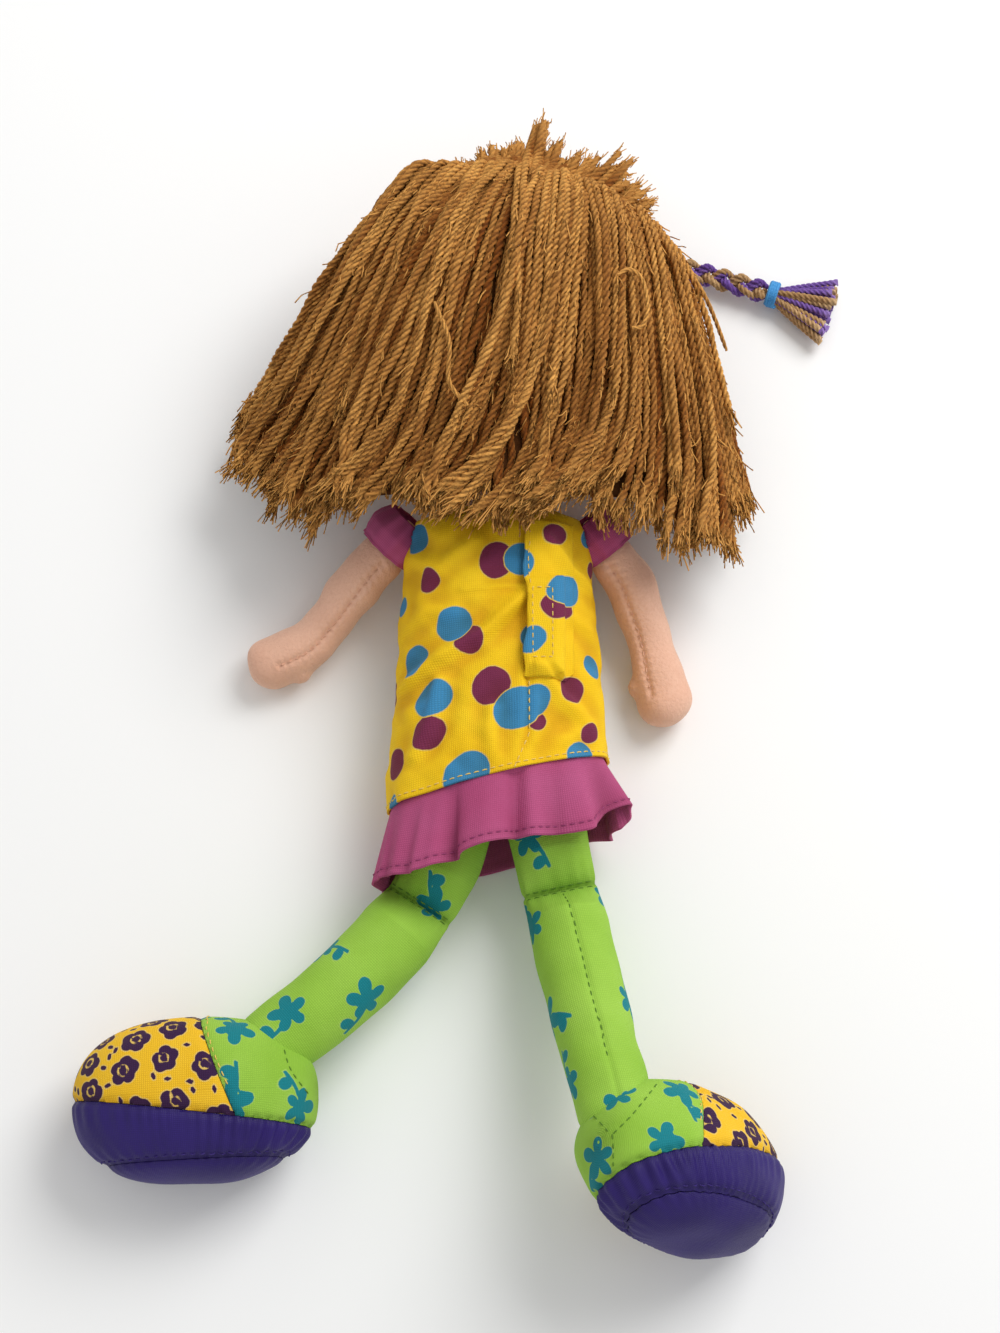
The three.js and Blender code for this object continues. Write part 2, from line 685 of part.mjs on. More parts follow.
// Arms, each on the gathered tab that sews it into the armhole
const armLine = {};
for (const [name, { side, turns }] of Object.entries(armSides)) {
  const pivot = shoulderPivot(side);
  const handZ = handRadius - flatDepth;
  const elbow = along(pivot, turned(side, turns[0]), upperArmLength).setZ(elbowZ);
  const wrist = along(elbow, turned(side, turns[1]), foreArmLength).setZ(wristZ);
  const hand = along(wrist, turned(side, turns[2]), handLength).setZ(handZ);
  const start = along(pivot, elbow.clone().sub(pivot).normalize(), tabRadius + easeGap);
  armLine[name] = new THREE.CatmullRomCurve3([start, elbow, wrist, hand], false, "centripetal");
  const radii = [
    armRootRadius,
    mix(armRootRadius, armRadius, armRootShare),
    armRadius,
    mix(armRadius, wristRadius, armTaperShare),
    wristRadius,
    mix(wristRadius, handRadius, palmShare),
    handRadius,
  ];
  const stations = [
    ...armStationShares.map((at, k) => ({ at, wide: radii[k] })),
    ...roundEnd(1, handRadius, endSteps),
  ];
  const inward = turned(side, turns[2] - 90);
  const palm = along(hand, turned(side, turns[2]), -handLength / 2);
  const thumb = ball(along(palm, inward, thumbReach), thumbRadius, thumbDetail);
  const arm = stuffed(armLine[name], stations, limbSides, thumb);
  add(`${name}_arm_tab`, ball(pivot, tabRadius, tabDetail), materials.skin);
  add(`${name}_arm_skin`, arm.skin, materials.skin);
  add(`${name}_arm_stuffing`, arm.core, materials.filling);

  const sleeveRings = [0, 0.5, 1].map((share) => {
    const reach = armLine[name].getLength();
    const at = (mix(sleeveFromLength, sleeveToLength, share) - tabRadius) / reach;
    return { at, wide: mix(armRadius, armRadius + sleeveFlareWidth, share) + sleeveGap };
  });
  const outerRings = sleeveRings.map((s) => ({ ...s, wide: s.wide + clothThickness }));
  const outside = sweep(armLine[name], outerRings, sleeveSides);
  const inside = sweep(armLine[name], sleeveRings, sleeveSides);
  const sleeve = loft([...outside, ...inside.reverse()], true).subtract(loft(dressRings(-easeGap)));
  add(`${name}_sleeve`, sleeve, materials.ruffle);
}

// Ruffle: gathered onto the hem from inside
const gather = (part) => (angle) =>
  ruffleRelief * part * Math.sin(ruffleFolds * angle) + creases(0)(angle);
function ruffleRings(inset) {
  const insideDress = clothThickness + easeGap + inset;
  const tuckShare = ruffleTuck / (dressTopY - dressBottomY);
  const tucked = [tuckShare, 0].map((share) =>
    dressRing(share, ruffleColumns, insideDress, 0, 1, creases(share)),
  );
  const loose = Array.from({ length: ruffleRows }, (_, k) => {
    const part = (k + 1) / ruffleRows;
    const flareShare = mix(1, ruffleFlareShare, part);
    return dressRing(0, ruffleColumns, insideDress, part * ruffleDrop, flareShare, gather(part));
  });
  return [...tucked, ...loose];
}
const ruffle = loft([...ruffleRings(0), ...ruffleRings(clothThickness).reverse()], true);
add("dress_ruffle", ruffle, materials.ruffle);

// Back opening: the flap lies over two patches that grip each other
function dressTop(x, y, lift) {
  const share = (y - dressBottomY) / (dressTopY - dressBottomY);
  const wide = dressHalfWidth * shareAt(dressStationShares, dressWidthShares, share);
  const deep = dressHalfDepth * shareAt(dressStationShares, dressDepthShares, share);
  const bow = (1 - (x / wide) ** clothSquareness) ** (1 / clothSquareness);
  return vec(x, y, dressAxisZ + deep * bow + creaseRelief * (1 - share) + lift);
}

function onDress(fromX, toX, fromY, toY, liftAt, thickness) {
  const grid = Array.from({ length: flapRows + 1 }, (_, r) =>
    Array.from({ length: flapColumns + 1 }, (_, c) => {
      const x = mix(fromX, toX, c / flapColumns);
      return dressTop(x, mix(fromY, toY, r / flapRows), liftAt(x) + thickness / 2);
    }),
  );
  return sheet(grid, () => thickness / 2, thickness / 2);
}

const patchX = flapEdgeX + patchFromEdge;
const patchY = flapBottomY + patchFromBottom;
const loopLift = 2 * easeGap;
const hookLift = loopLift + patchThickness + easeGap;
const flapLift = hookLift + patchThickness + easeGap;
const patch = (lift) =>
  onDress(patchX, patchX + patchWidth, patchY, patchY + patchLength, () => lift, patchThickness);
add("loop_patch", patch(loopLift), materials.patch);
add("hook_patch", patch(hookLift), materials.patch);
const flapSlope = (x) => {
  const part = THREE.MathUtils.clamp((flapHingeX - x) / (flapHingeX - patchX - patchWidth), 0, 1);
  return mix(loopLift, flapLift, part);
};
const flap = onDress(flapHingeX, flapEdgeX, flapBottomY, flapTopY, flapSlope, clothThickness);
add("dress_flap", flap, materials.dress);

// Legs: a short thigh and a long shin, each sewn flat where they meet, so that the leg folds there
const legPlaces = {};
for (const [name, leg] of Object.entries(legSides)) {
  const { side } = leg;
  const hip = hipPivot(side);
  const crease = along(hip, turned(side, leg.thighTurn), thighLength).setZ(leg.creaseZ);
  const across = (leg.thighTurn + leg.shinTurn) / 2;
  const creaseWay = turned(side, across);
  const thighEnd = along(crease, creaseWay, -creaseGap / 2);
  const shinStart = along(crease, creaseWay, creaseGap / 2);
  const thickness = (distance, full) => Math.min(full, creaseHalfDepth + distance * creaseRise);

  const thighBend = along(thighEnd, creaseWay, -thighLength / 2);
  const thighLine = new THREE.QuadraticBezierCurve3(hip, thighBend, thighEnd);
  const thighReach = thighLine.getLength();
  const thighStations = [
    ...roundEnd(0, hipRadius, shortEndSteps),
    { at: 0, wide: hipRadius },
    ...thighStationShares.map((at) => ({
      at,
      wide: mix(thighRadius, creaseHalfWidth, at ** thighTaperPower),
      deep: thickness((1 - at) * thighReach, thighRadius),
    })),
  ];
  const thigh = stuffed(thighLine, thighStations, limbSides);
  add(`${name}_thigh_skin`, thigh.skin, materials.leggings);
  add(`${name}_thigh_stuffing`, thigh.core, materials.filling);

  // Foot: its own directions are toeward, topward and wideward. It lies on its side, pressed on the table.
  const [dip, tip] = [radians(leg.footDip), radians(leg.footTip)];
  const toeward = vec(side * Math.cos(dip), 0, -Math.sin(dip));
  const raised = vec(side * Math.sin(dip), 0, Math.cos(dip));
  const topward = headward.clone().multiplyScalar(Math.cos(tip)).addScaledVector(raised, -Math.sin(tip));
  const yaw = new THREE.Quaternion().setFromAxisAngle(upward, -side * radians(leg.footYaw));
  toeward.applyQuaternion(yaw);
  topward.applyQuaternion(yaw);
  const wideward = topward.clone().cross(toeward);
  const footRings = (centre, inset, sides, steps) =>
    Array.from({ length: steps }, (_, k) => {
      const angle = Math.PI * ((k + 0.5) / steps - 0.5);
      const reach = Math.sign(angle) * Math.abs(Math.sin(angle)) ** (2 / footSquareness);
      const bulk = Math.cos(angle) ** (2 / footSquareness);
      const middle = along(centre, toeward, (footHalfLength - inset) * reach);
      const [wide, deep] = [(footHalfWidth - inset) * bulk, (footHalfHeight - inset) * bulk];
      return ring(middle, wideward, topward, wide, deep, sides, footSquareness, inset - overrunLength);
    });
  const aboutMiddle = footRings(vec(0, 0, 0), 0, footSides, footSteps).flat();
  const lowest = Math.min(...aboutMiddle.map((p) => p.z));
  const ankleSeen = along(crease, turned(side, leg.shinTurn), shinLength * leg.shinShare);
  const ankleWay = toeward.clone().multiplyScalar(-ankleFromMiddle);
  ankleWay.addScaledVector(topward, ankleAboveMiddle);
  const centre = ankleSeen.clone().sub(ankleWay).setZ(-lowest - flatDepth);
  const ankle = centre.clone().add(ankleWay);

  const shinBend = along(shinStart, creaseWay, shinLength * shinBowShare);
  const shinLine = new THREE.QuadraticBezierCurve3(shinStart, shinBend, ankle);
  const shinReach = shinLine.getLength();
  const shinStations = [
    ...shinStationShares.map((at) => {
      const calf = mix(creaseHalfWidth, shinRadius, Math.min(1, at / shinSwellShare));
      const taper = at ** shinTaperPower;
      return {
        at,
        wide: mix(calf, ankleRadius, taper),
        deep: thickness(at * shinReach, mix(shinRadius, ankleRadius, taper)),
      };
    }),
    ...roundEnd(1, ankleRadius, endSteps),
  ];
  const shin = stuffed(shinLine, shinStations, limbSides);
  add(`${name}_shin_skin`, shin.skin, materials.leggings);
  add(`${name}_shin_stuffing`, shin.core, materials.filling);

  const shinEnd = shinLine.getTangentAt(1);
  const flexAxis = along(wideward, shinEnd, -wideward.dot(shinEnd)).normalize();
  const ankleRoom = (gap) =>
    hingeRoom(ankle, flexAxis, shinEnd.clone().negate(), -ankleFlex, ankleFlex, ankleRadius + gap);
  const footFrame = new THREE.Matrix4().makeBasis(toeward, wideward, topward).setPosition(centre);
  // Everything on one side of a seam, whose plane tilts along the foot or stands across it.
  const beyond = (height, slope, which, acrossFoot) => {
    const block = new THREE.BoxGeometry(2 * overrunLength, 2 * overrunLength, 2 * overrunLength);
    block.translate(0, 0, which * (overrunLength + easeGap / 2));
    if (acrossFoot) block.rotateY(Math.PI / 2 + Math.atan(slope)).translate(height, 0, 0);
    else block.rotateY(-Math.atan(slope)).translate(0, 0, height);
    return solidFrom(block.applyMatrix4(footFrame));
  };
  const floorBlock = new THREE.BoxGeometry(4 * overrunLength, 4 * overrunLength, overrunLength);
  const below = (height) =>
    solidFrom(floorBlock.clone().translate(centre.x, centre.y, height - overrunLength / 2));
  const footForm = (inset, sides, steps) =>
    loft(footRings(centre, inset, sides, steps)).subtract(below(inset));
  const shoeHollow = footForm(panelThickness, footSides, footSteps);
  const shoe = footForm(0, footSides, footSteps).subtract(shoeHollow);
  const belowBand = beyond(-bandTopDepth, bandTopSlope, -1);
  const aboveBand = beyond(-bandTopDepth, bandTopSlope, 1);
  const toePart = beyond(-vampSeamLength, vampSeamSlope, 1, true);
  const heelPart = beyond(-vampSeamLength, vampSeamSlope, -1, true);
  const room = ankleRoom(easeGap);
  const band = shoe.intersect(beyond(-soleTopDepth, 0, 1)).intersect(belowBand);
  const upper = shoe.intersect(aboveBand).subtract(room);
  add(`${name}_sole`, shoe.intersect(beyond(-soleTopDepth, 0, -1)), materials.shoe);
  add(`${name}_side_band`, band, materials.shoe);
  add(`${name}_toe_vamp`, upper.intersect(toePart), materials.vamp);
  add(`${name}_heel_quarter`, upper.intersect(heelPart), materials.leggings);
  const footCore = footForm(panelThickness + stuffingGap, footCoreSides, footCoreSteps);
  add(`${name}_foot_stuffing`, footCore.subtract(ankleRoom(2 * easeGap)), materials.filling);
  legPlaces[name] = { hip, crease, creaseWay, ankle, flexAxis };
}

// Where each joint turns, for whoever poses the doll
const flapMiddleY = (flapTopY + flapBottomY) / 2;
const flapPivot = dressTop(flapHingeX, flapMiddleY, loopLift + clothThickness / 2);
doll.userData = { neckPivot, plaitPivot, flapPivot, legPlaces };
for (const [name, { side }] of Object.entries(armSides)) {
  doll.userData[`${name}Shoulder`] = shoulderPivot(side);
  doll.userData[`${name}ArmWay`] = armLine[name].getTangentAt(0);
}

export default doll;
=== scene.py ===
# A cloth rag doll with yarn hair, a spotted dress and stuffed shoes, lying on its front.
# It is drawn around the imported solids, in metres: +Z is the doll's back, +Y its head, +X its right hand.
import json
import math

import bmesh
import bpy
import numpy as np
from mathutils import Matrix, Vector
from mathutils.bvhtree import BVHTree


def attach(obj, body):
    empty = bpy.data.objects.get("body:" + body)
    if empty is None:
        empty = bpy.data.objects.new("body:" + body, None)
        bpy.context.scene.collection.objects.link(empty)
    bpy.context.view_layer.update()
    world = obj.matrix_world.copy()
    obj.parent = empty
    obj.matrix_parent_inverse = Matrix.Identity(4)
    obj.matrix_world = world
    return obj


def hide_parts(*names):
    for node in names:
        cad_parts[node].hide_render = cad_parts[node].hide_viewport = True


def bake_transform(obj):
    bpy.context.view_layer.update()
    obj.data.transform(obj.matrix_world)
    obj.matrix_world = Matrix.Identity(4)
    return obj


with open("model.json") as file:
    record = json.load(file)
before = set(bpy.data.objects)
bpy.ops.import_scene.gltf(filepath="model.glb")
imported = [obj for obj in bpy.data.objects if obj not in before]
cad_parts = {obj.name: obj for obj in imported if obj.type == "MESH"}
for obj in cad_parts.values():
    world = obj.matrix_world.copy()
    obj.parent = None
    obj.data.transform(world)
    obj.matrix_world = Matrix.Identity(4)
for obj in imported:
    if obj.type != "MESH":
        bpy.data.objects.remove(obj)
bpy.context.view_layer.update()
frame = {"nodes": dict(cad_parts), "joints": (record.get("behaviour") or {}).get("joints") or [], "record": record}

# Camera: straight above the feet end, tilted back a little, as the doll was photographed.
# Its long side is the picture's height.
scene = bpy.context.scene


def linked(name, data):
    """A new object in the scene."""
    made = bpy.data.objects.new(name, data)
    scene.collection.objects.link(made)
    return made


camera_tilt = math.radians(15)
camera_distance = 0.85
camera_target = Vector((0.0007, -0.0058, 0.025))
camera_data = bpy.data.cameras.new("camera")
camera_data.sensor_width = 36
camera_data.lens = 67.5
camera = linked("camera", camera_data)
camera.rotation_euler = (camera_tilt, 0, 0)
camera.location = camera_target + camera_distance * Vector((0, -math.sin(camera_tilt), math.cos(camera_tilt)))
scene.camera = camera
scene.view_settings.view_transform = "Standard"


# Table and light: a pale table that keeps the shadow, one broad lamp from the upper right, and a white
# room that lights evenly. What the camera sees of the room is plain white.
def linear(code):
    """An sRGB hex colour as linear red, green, blue and alpha."""
    parts = [int(code[k : k + 2], 16) / 255 for k in (1, 3, 5)]
    return tuple(c / 12.92 if c <= 0.04045 else ((c + 0.055) / 1.055) ** 2.4 for c in parts) + (1.0,)


def put(tree, kind, inputs=None, **settings):
    """Adds a node with its settings. An input is given a value or a hex colour, or linked to a socket."""
    node = tree.nodes.new(kind)
    for name, value in settings.items():
        setattr(node, name, value)
    for place, value in (inputs or {}).items():
        if isinstance(value, bpy.types.NodeSocket):
            tree.links.new(value, node.inputs[place])
        else:
            node.inputs[place].default_value = linear(value) if str(value).startswith("#") else value
    return node


def mesh_of(name, bm, material):
    """A mesh made of what was worked on."""
    mesh = bpy.data.meshes.new(name)
    bm.to_mesh(mesh)
    bm.free()
    mesh.materials.append(material)
    return mesh


table_paint = bpy.data.materials.new("white_laminate")
table_paint.use_nodes = True
shader = table_paint.node_tree.nodes["Principled BSDF"]
shader.inputs["Base Color"].default_value = linear("#F6F6F5")
shader.inputs["Roughness"].default_value = 0.9
table_bm = bmesh.new()
bmesh.ops.create_circle(table_bm, cap_ends=True, segments=96, radius=3)
linked("table_top", mesh_of("table_top", table_bm, table_paint))

room_light = 0.62
world = bpy.data.worlds.new("white_room")
world.use_nodes = True
scene.world = world
tree = world.node_tree
tree.nodes.clear()
rays = put(tree, "ShaderNodeLightPath")
seen = rays.outputs["Is Camera Ray"]
for ray in ("Is Glossy Ray", "Is Transmission Ray"):
    seen = put(tree, "ShaderNodeMath", {0: seen, 1: rays.outputs[ray]}, operation="MAXIMUM").outputs[0]
even = put(tree, "ShaderNodeBackground", {"Color": (1, 1, 1, 1), "Strength": room_light})
plain = put(tree, "ShaderNodeBackground", {"Color": (1, 1, 1, 1), "Strength": 1.0})
both = put(tree, "ShaderNodeMixShader", {0: seen, 1: even.outputs[0], 2: plain.outputs[0]})
put(tree, "ShaderNodeOutputWorld", {"Surface": both.outputs[0]})

lamp_place = Vector((0.75, 0.75, 1.15))
lamp_data = bpy.data.lights.new("broad_lamp", "AREA")
lamp_data.size = 0.9
lamp_data.energy = 17
lamp = linked("broad_lamp", lamp_data)
lamp.location = lamp_place
lamp.rotation_euler = (-lamp_place).to_track_quat("-Z", "Y").to_euler()


# Filling: loose polyester fibre, teased by hand and pushed into every stuffed part through a gap in its
# seam. It is white, soft and lumpy, and lies just inside the cloth.
MM = 0.001
nodes = frame["nodes"]


def unit(ways):
    """Ways made one long."""
    return ways / np.linalg.norm(ways, axis=-1, keepdims=True)


def waves(points, size, seed, count=14):
    """Smooth unevenness of about that size in millimetres, from -1 to 1, the same each time."""
    draw = np.random.default_rng(seed)
    way = unit(draw.normal(size=(count, points.shape[1])))
    way *= (2 * np.pi / size) * draw.uniform(0.6, 1.5, count)[:, None]
    return np.sin(points @ way.T + draw.uniform(0, 2 * np.pi, count)).sum(1) / math.sqrt(count) * 0.8


def finish_of(name, roughness, sheen, glow):
    """A new material with its tree. Sheen is the soft edge that loose fibres give to cloth."""
    material = bpy.data.materials.new(name)
    material.use_nodes = True
    inputs = material.node_tree.nodes["Principled BSDF"].inputs
    inputs["Roughness"].default_value = roughness
    inputs["Sheen Weight"].default_value = sheen
    inputs["Sheen Roughness"].default_value = 0.45
    inputs["Sheen Tint"].default_value = linear(glow)
    inputs["Specular IOR Level"].default_value = 0.25
    return material, material.node_tree


def layered(tree, colour, *layers):
    """A colour with others laid over it in turn, each by its own share, a few of them by multiplying."""
    for share, other, *blend in layers:
        blend = blend[0] if blend else "MIX"
        over = put(tree, "ShaderNodeMix", {0: share, 6: colour, 7: other}, data_type="RGBA", blend_type=blend)
        colour = over.outputs[2]
    return colour


def coated(tree, colour, height=None, depth=0.0):
    """Gives a material its colour, and a fine relief of that depth in millimetres."""
    shader = tree.nodes["Principled BSDF"]
    tree.links.new(colour, shader.inputs["Base Color"])
    if height is not None:
        ridge = put(tree, "ShaderNodeBump", {"Height": height, "Distance": depth * MM})
        tree.links.new(ridge.outputs[0], shader.inputs["Normal"])


def fibrous(name, roughness, sheen, glow, dark, pale, clumps, fibres=None, depth=0.0):
    """A finish of loose fibres in two tones. Clumps and fibres are noise scales per metre, with their detail."""
    material, tree = finish_of(name, roughness, sheen, glow)
    place = put(tree, "ShaderNodeTexCoord").outputs["Object"]
    grain = []
    for scale, detail in (clumps, fibres) if fibres else (clumps,):
        noise = put(tree, "ShaderNodeTexNoise", {"Vector": place, "Scale": scale, "Detail": detail})
        grain.append(noise.outputs["Fac"])
    coated(tree, layered(tree, dark, (grain[0], pale)), grain[-1] if depth else None, depth)
    return material


def belongs(made, body, slot, *solids):
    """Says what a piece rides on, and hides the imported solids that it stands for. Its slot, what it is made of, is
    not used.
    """
    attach(made, body)
    if solids:
        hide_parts(*solids)


def reform(name, node, body, material, slot, cuts, lump, seed, shrink=0.0):
    """A finer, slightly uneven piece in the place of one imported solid."""
    bm = bmesh.new()
    bm.from_mesh(nodes[node].data)
    bmesh.ops.remove_doubles(bm, verts=bm.verts, dist=1e-6)
    bmesh.ops.recalc_face_normals(bm, faces=bm.faces)
    bmesh.ops.subdivide_edges(bm, edges=bm.edges, cuts=cuts, use_grid_fill=True, smooth=0.3)
    bmesh.ops.triangulate(bm, faces=[f for f in bm.faces if len(f.verts) > 4])
    bm.normal_update()
    places = np.array([v.co for v in bm.verts]) / MM
    for vertex, distance in zip(bm.verts, waves(places, 9, seed) * lump - shrink):
        vertex.co += vertex.normal * float(distance) * MM
        vertex.co.z = max(vertex.co.z, 0.0)
    made = linked(name, mesh_of(name, bm, material))
    made.data.shade_smooth()
    belongs(made, body, slot, node)
    return made


fibre = {"roughness": 0.95, "sheen": 0.4, "glow": "#FFFFFF", "dark": "#DAD8D0", "pale": "#FAF9F6"}
fill = fibrous("polyester_fibre", **fibre, clumps=(260, 5), fibres=(1400, 3), depth=0.6)
bodies_of_nodes = {n: b for b, members in frame["record"]["behaviour"]["bodies"].items() for n in members}
for number, (node, body) in enumerate(sorted(bodies_of_nodes.items())):
    if node.endswith("_stuffing"):
        name = node.replace("stuffing", "filling")
        made = reform(name, node, body, fill, "polyester_stuffing", cuts=1, lump=0.3, seed=number, shrink=0.35)


# Torso and neck: a bag of peach velour sewn from two panels and stuffed firm. The neck is a short tube of
# the same cloth, sewn into the top of the bag and into the head. Its nap is a soft pile under 1 mm high.
velour, tree = finish_of("peach_velour", roughness=0.95, sheen=0.55, glow="#FFE3D0")
place = put(tree, "ShaderNodeTexCoord").outputs["Object"]
shade = put(tree, "ShaderNodeTexNoise", {"Vector": place, "Scale": 55, "Detail": 4}).outputs["Fac"]
nap = put(tree, "ShaderNodeTexNoise", {"Vector": place, "Scale": 900, "Detail": 3, "Roughness": 0.7}).outputs["Fac"]
brushed = put(tree, "ShaderNodeMapRange", {0: nap, 1: 0.35, 2: 0.75, 3: 0.0, 4: 0.35}).outputs[0]
coated(tree, layered(tree, "#E0AC92", (shade, "#EFC3A9"), (brushed, "#CF957A")), nap, 0.5)
for name, lump, seed in (("torso", 0.15, 40), ("neck", 0.1, 41)):
    made = reform(f"{name}_velour", f"{name}_skin", name, velour, "skin_velour", cuts=2, lump=lump, seed=seed)


# Thread and yarn: every yarn, cord and stitch on the doll is a line that a lobed profile is swept along and
# twisted round. The guides carry how thick and how frayed each place is, and its tone, which on the hair locks
# is painted light and shade. The grooves between the lobes are marked for painted shade.
thread_tree = bpy.data.node_groups.new("plied_thread", "GeometryNodeTree")
for label, kind in (
    ("Guides", "NodeSocketGeometry"),
    ("Thread radius", "NodeSocketFloat"),
    ("Twist pitch", "NodeSocketFloat"),
    ("Lobe depth", "NodeSocketFloat"),
    ("Profile points", "NodeSocketInt"),
    ("Finish", "NodeSocketMaterial"),
):
    thread_tree.interface.new_socket(label, in_out="INPUT", socket_type=kind)
thread_tree.interface.new_socket("Threads", in_out="OUTPUT", socket_type="NodeSocketGeometry")
thread_inputs = {s.name: s.identifier for s in thread_tree.interface.items_tree if s.in_out == "INPUT"}
asked = put(thread_tree, "NodeGroupInput").outputs
guide = put(thread_tree, "GeometryNodeMeshToCurve", {0: asked["Guides"]})
swell = put(thread_tree, "GeometryNodeInputNamedAttribute", {"Name": "swell"}, data_type="FLOAT")
along = put(thread_tree, "GeometryNodeInputNamedAttribute", {"Name": "along"}, data_type="FLOAT")
turns = put(thread_tree, "ShaderNodeMath", {0: along.outputs[0], 1: asked["Twist pitch"]}, operation="DIVIDE")
angle = put(thread_tree, "ShaderNodeMath", {0: turns.outputs[0], 1: 2 * math.pi}, operation="MULTIPLY")
wound = put(thread_tree, "GeometryNodeSetCurveTilt", {0: guide.outputs[0], 2: angle.outputs[0]})
circle = put(
    thread_tree, "GeometryNodeCurvePrimitiveCircle", {"Resolution": asked["Profile points"], "Radius": 1.0}
)
# Every third point of the profile is drawn in, and marked as a groove, where the yarn's colour gets painted shade
# between the plies.
spot = put(thread_tree, "GeometryNodeInputIndex")
third = put(thread_tree, "ShaderNodeMath", {0: spot.outputs[0], 1: 3.0}, operation="MODULO")
valley = put(thread_tree, "ShaderNodeMath", {0: third.outputs[0], 1: 0.5}, operation="LESS_THAN")
marked = put(
    thread_tree,
    "GeometryNodeStoreNamedAttribute",
    {0: circle.outputs[0], "Name": "groove", 3: valley.outputs[0]},
    data_type="FLOAT",
    domain="POINT",
)
depth = put(thread_tree, "ShaderNodeMath", {0: valley.outputs[0], 1: asked["Lobe depth"]}, operation="MULTIPLY")
kept = put(thread_tree, "ShaderNodeMath", {0: 1.0, 1: depth.outputs[0]}, operation="SUBTRACT")
where = put(thread_tree, "GeometryNodeInputPosition")
nearer = {0: where.outputs[0], "Scale": kept.outputs[0]}
drawn_in = put(thread_tree, "ShaderNodeVectorMath", nearer, operation="SCALE")
profile = put(thread_tree, "GeometryNodeSetPosition", {0: marked.outputs[0], 2: drawn_in.outputs[0]})
width = put(thread_tree, "ShaderNodeMath", {0: swell.outputs[0], 1: asked["Thread radius"]}, operation="MULTIPLY")
swept = put(
    thread_tree,
    "GeometryNodeCurveToMesh",
    {0: wound.outputs[0], 1: profile.outputs[0], "Scale": width.outputs[0], "Fill Caps": True},
)
rounded = put(thread_tree, "GeometryNodeSetShadeSmooth", {0: swept.outputs[0]})
real = put(thread_tree, "GeometryNodeRealizeInstances", {0: rounded.outputs[0]})
dressed = put(thread_tree, "GeometryNodeSetMaterial", {0: real.outputs[0], 2: asked["Finish"]})
put(thread_tree, "NodeGroupOutput", {0: dressed.outputs[0]})


def run_of(path):
    """How far along a path each of its points lies."""
    return np.r_[0, np.cumsum(np.linalg.norm(np.diff(path, axis=0), axis=1))]


def at_runs(path, runs):
    """The places on a path at those distances along it."""
    reach = run_of(path)
    return np.stack([np.interp(runs, reach, places) for places in path.T], 1)


def marked_with(mesh, fields):
    """Stores a number for each point of a mesh under each field's name."""
    for field, values in fields.items():
        layer = mesh.attributes.new(field, "FLOAT", "POINT")
        layer.data.foreach_set("value", np.asarray(values, np.float32))


def settled(made):
    """The piece with its modifiers taken into its mesh."""
    bpy.context.view_layer.update()
    shaped = made.evaluated_get(bpy.context.evaluated_depsgraph_get())
    mesh = bpy.data.meshes.new_from_object(shaped)
    mesh.name = made.name
    old = made.data
    made.modifiers.clear()
    made.data = mesh
    bpy.data.meshes.remove(old)
    return made


def spun(name, paths, radius, material, pitch=6.0, lobe=0.2, sides=9, tones_and_light=0.0, swells=None, frays=None):
    """One piece with a thread along each path. Paths and sizes are in millimetres."""
    counts = [len(p) for p in paths]
    starts = np.cumsum([0] + counts[:-1])
    edges = [np.stack([np.arange(c - 1), np.arange(1, c)], 1) + s for c, s in zip(counts, starts)]
    mesh = bpy.data.meshes.new(name)
    mesh.from_pydata((np.concatenate(paths) * MM).tolist(), np.concatenate(edges).tolist(), [])
    tones_and_light = [tones_and_light] * len(paths) if np.isscalar(tones_and_light) else tones_and_light
    fields = {
        "along": [(run_of(p) + pitch * (0.618 * k % 1)) * MM for k, p in enumerate(paths)],
        "tone_and_light": [np.full(c, tone_and_light) for c, tone_and_light in zip(counts, tones_and_light)],
        "swell": swells or [np.ones(c) for c in counts],
        "fray": frays or [np.zeros(c) for c in counts],
    }
    marked_with(mesh, {field: np.concatenate(values) for field, values in fields.items()})
    made = linked(name, mesh)
    modifier = made.modifiers.new("plied_thread", "NODES")
    modifier.node_group = thread_tree
    for label, value in (
        ("Thread radius", radius * MM),
        ("Twist pitch", pitch * MM),
        ("Lobe depth", lobe),
        ("Profile points", sides),
        ("Finish", material),
    ):
        modifier[thread_inputs[label]] = value
    return settled(made)


def sewn(name, stitches, radius, thread, body):
    """A row of stitches in fine sewing thread, on a body."""
    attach(spun(name, stitches, radius, thread, sides=6, lobe=0.1, pitch=3), body)


def spline(knots, count):
    """A smooth line through the knots, as evenly spaced points."""
    knots = np.asarray(knots, float)
    run = np.vstack([2 * knots[0] - knots[1], knots, 2 * knots[-1] - knots[-2]])
    dense = []
    for a, b, c, d in zip(run, run[1:], run[2:], run[3:]):
        first, middle, last = (max(np.linalg.norm(q - p) ** 0.5, 1e-6) for p, q in ((a, b), (b, c), (c, d)))
        start = ((b - a) / first - (c - a) / (first + middle) + (c - b) / middle) * middle
        end = ((c - b) / middle - (d - b) / (middle + last) + (d - c) / last) * middle
        t = np.linspace(0, 1, 24, endpoint=False)[:, None]
        dense.append(b + start * t + (3 * (c - b) - 2 * start - end) * t**2 + (2 * (b - c) + start + end) * t**3)
    dense = np.vstack([*dense, knots[-1:]])
    return at_runs(dense, np.linspace(0, run_of(dense)[-1], count))


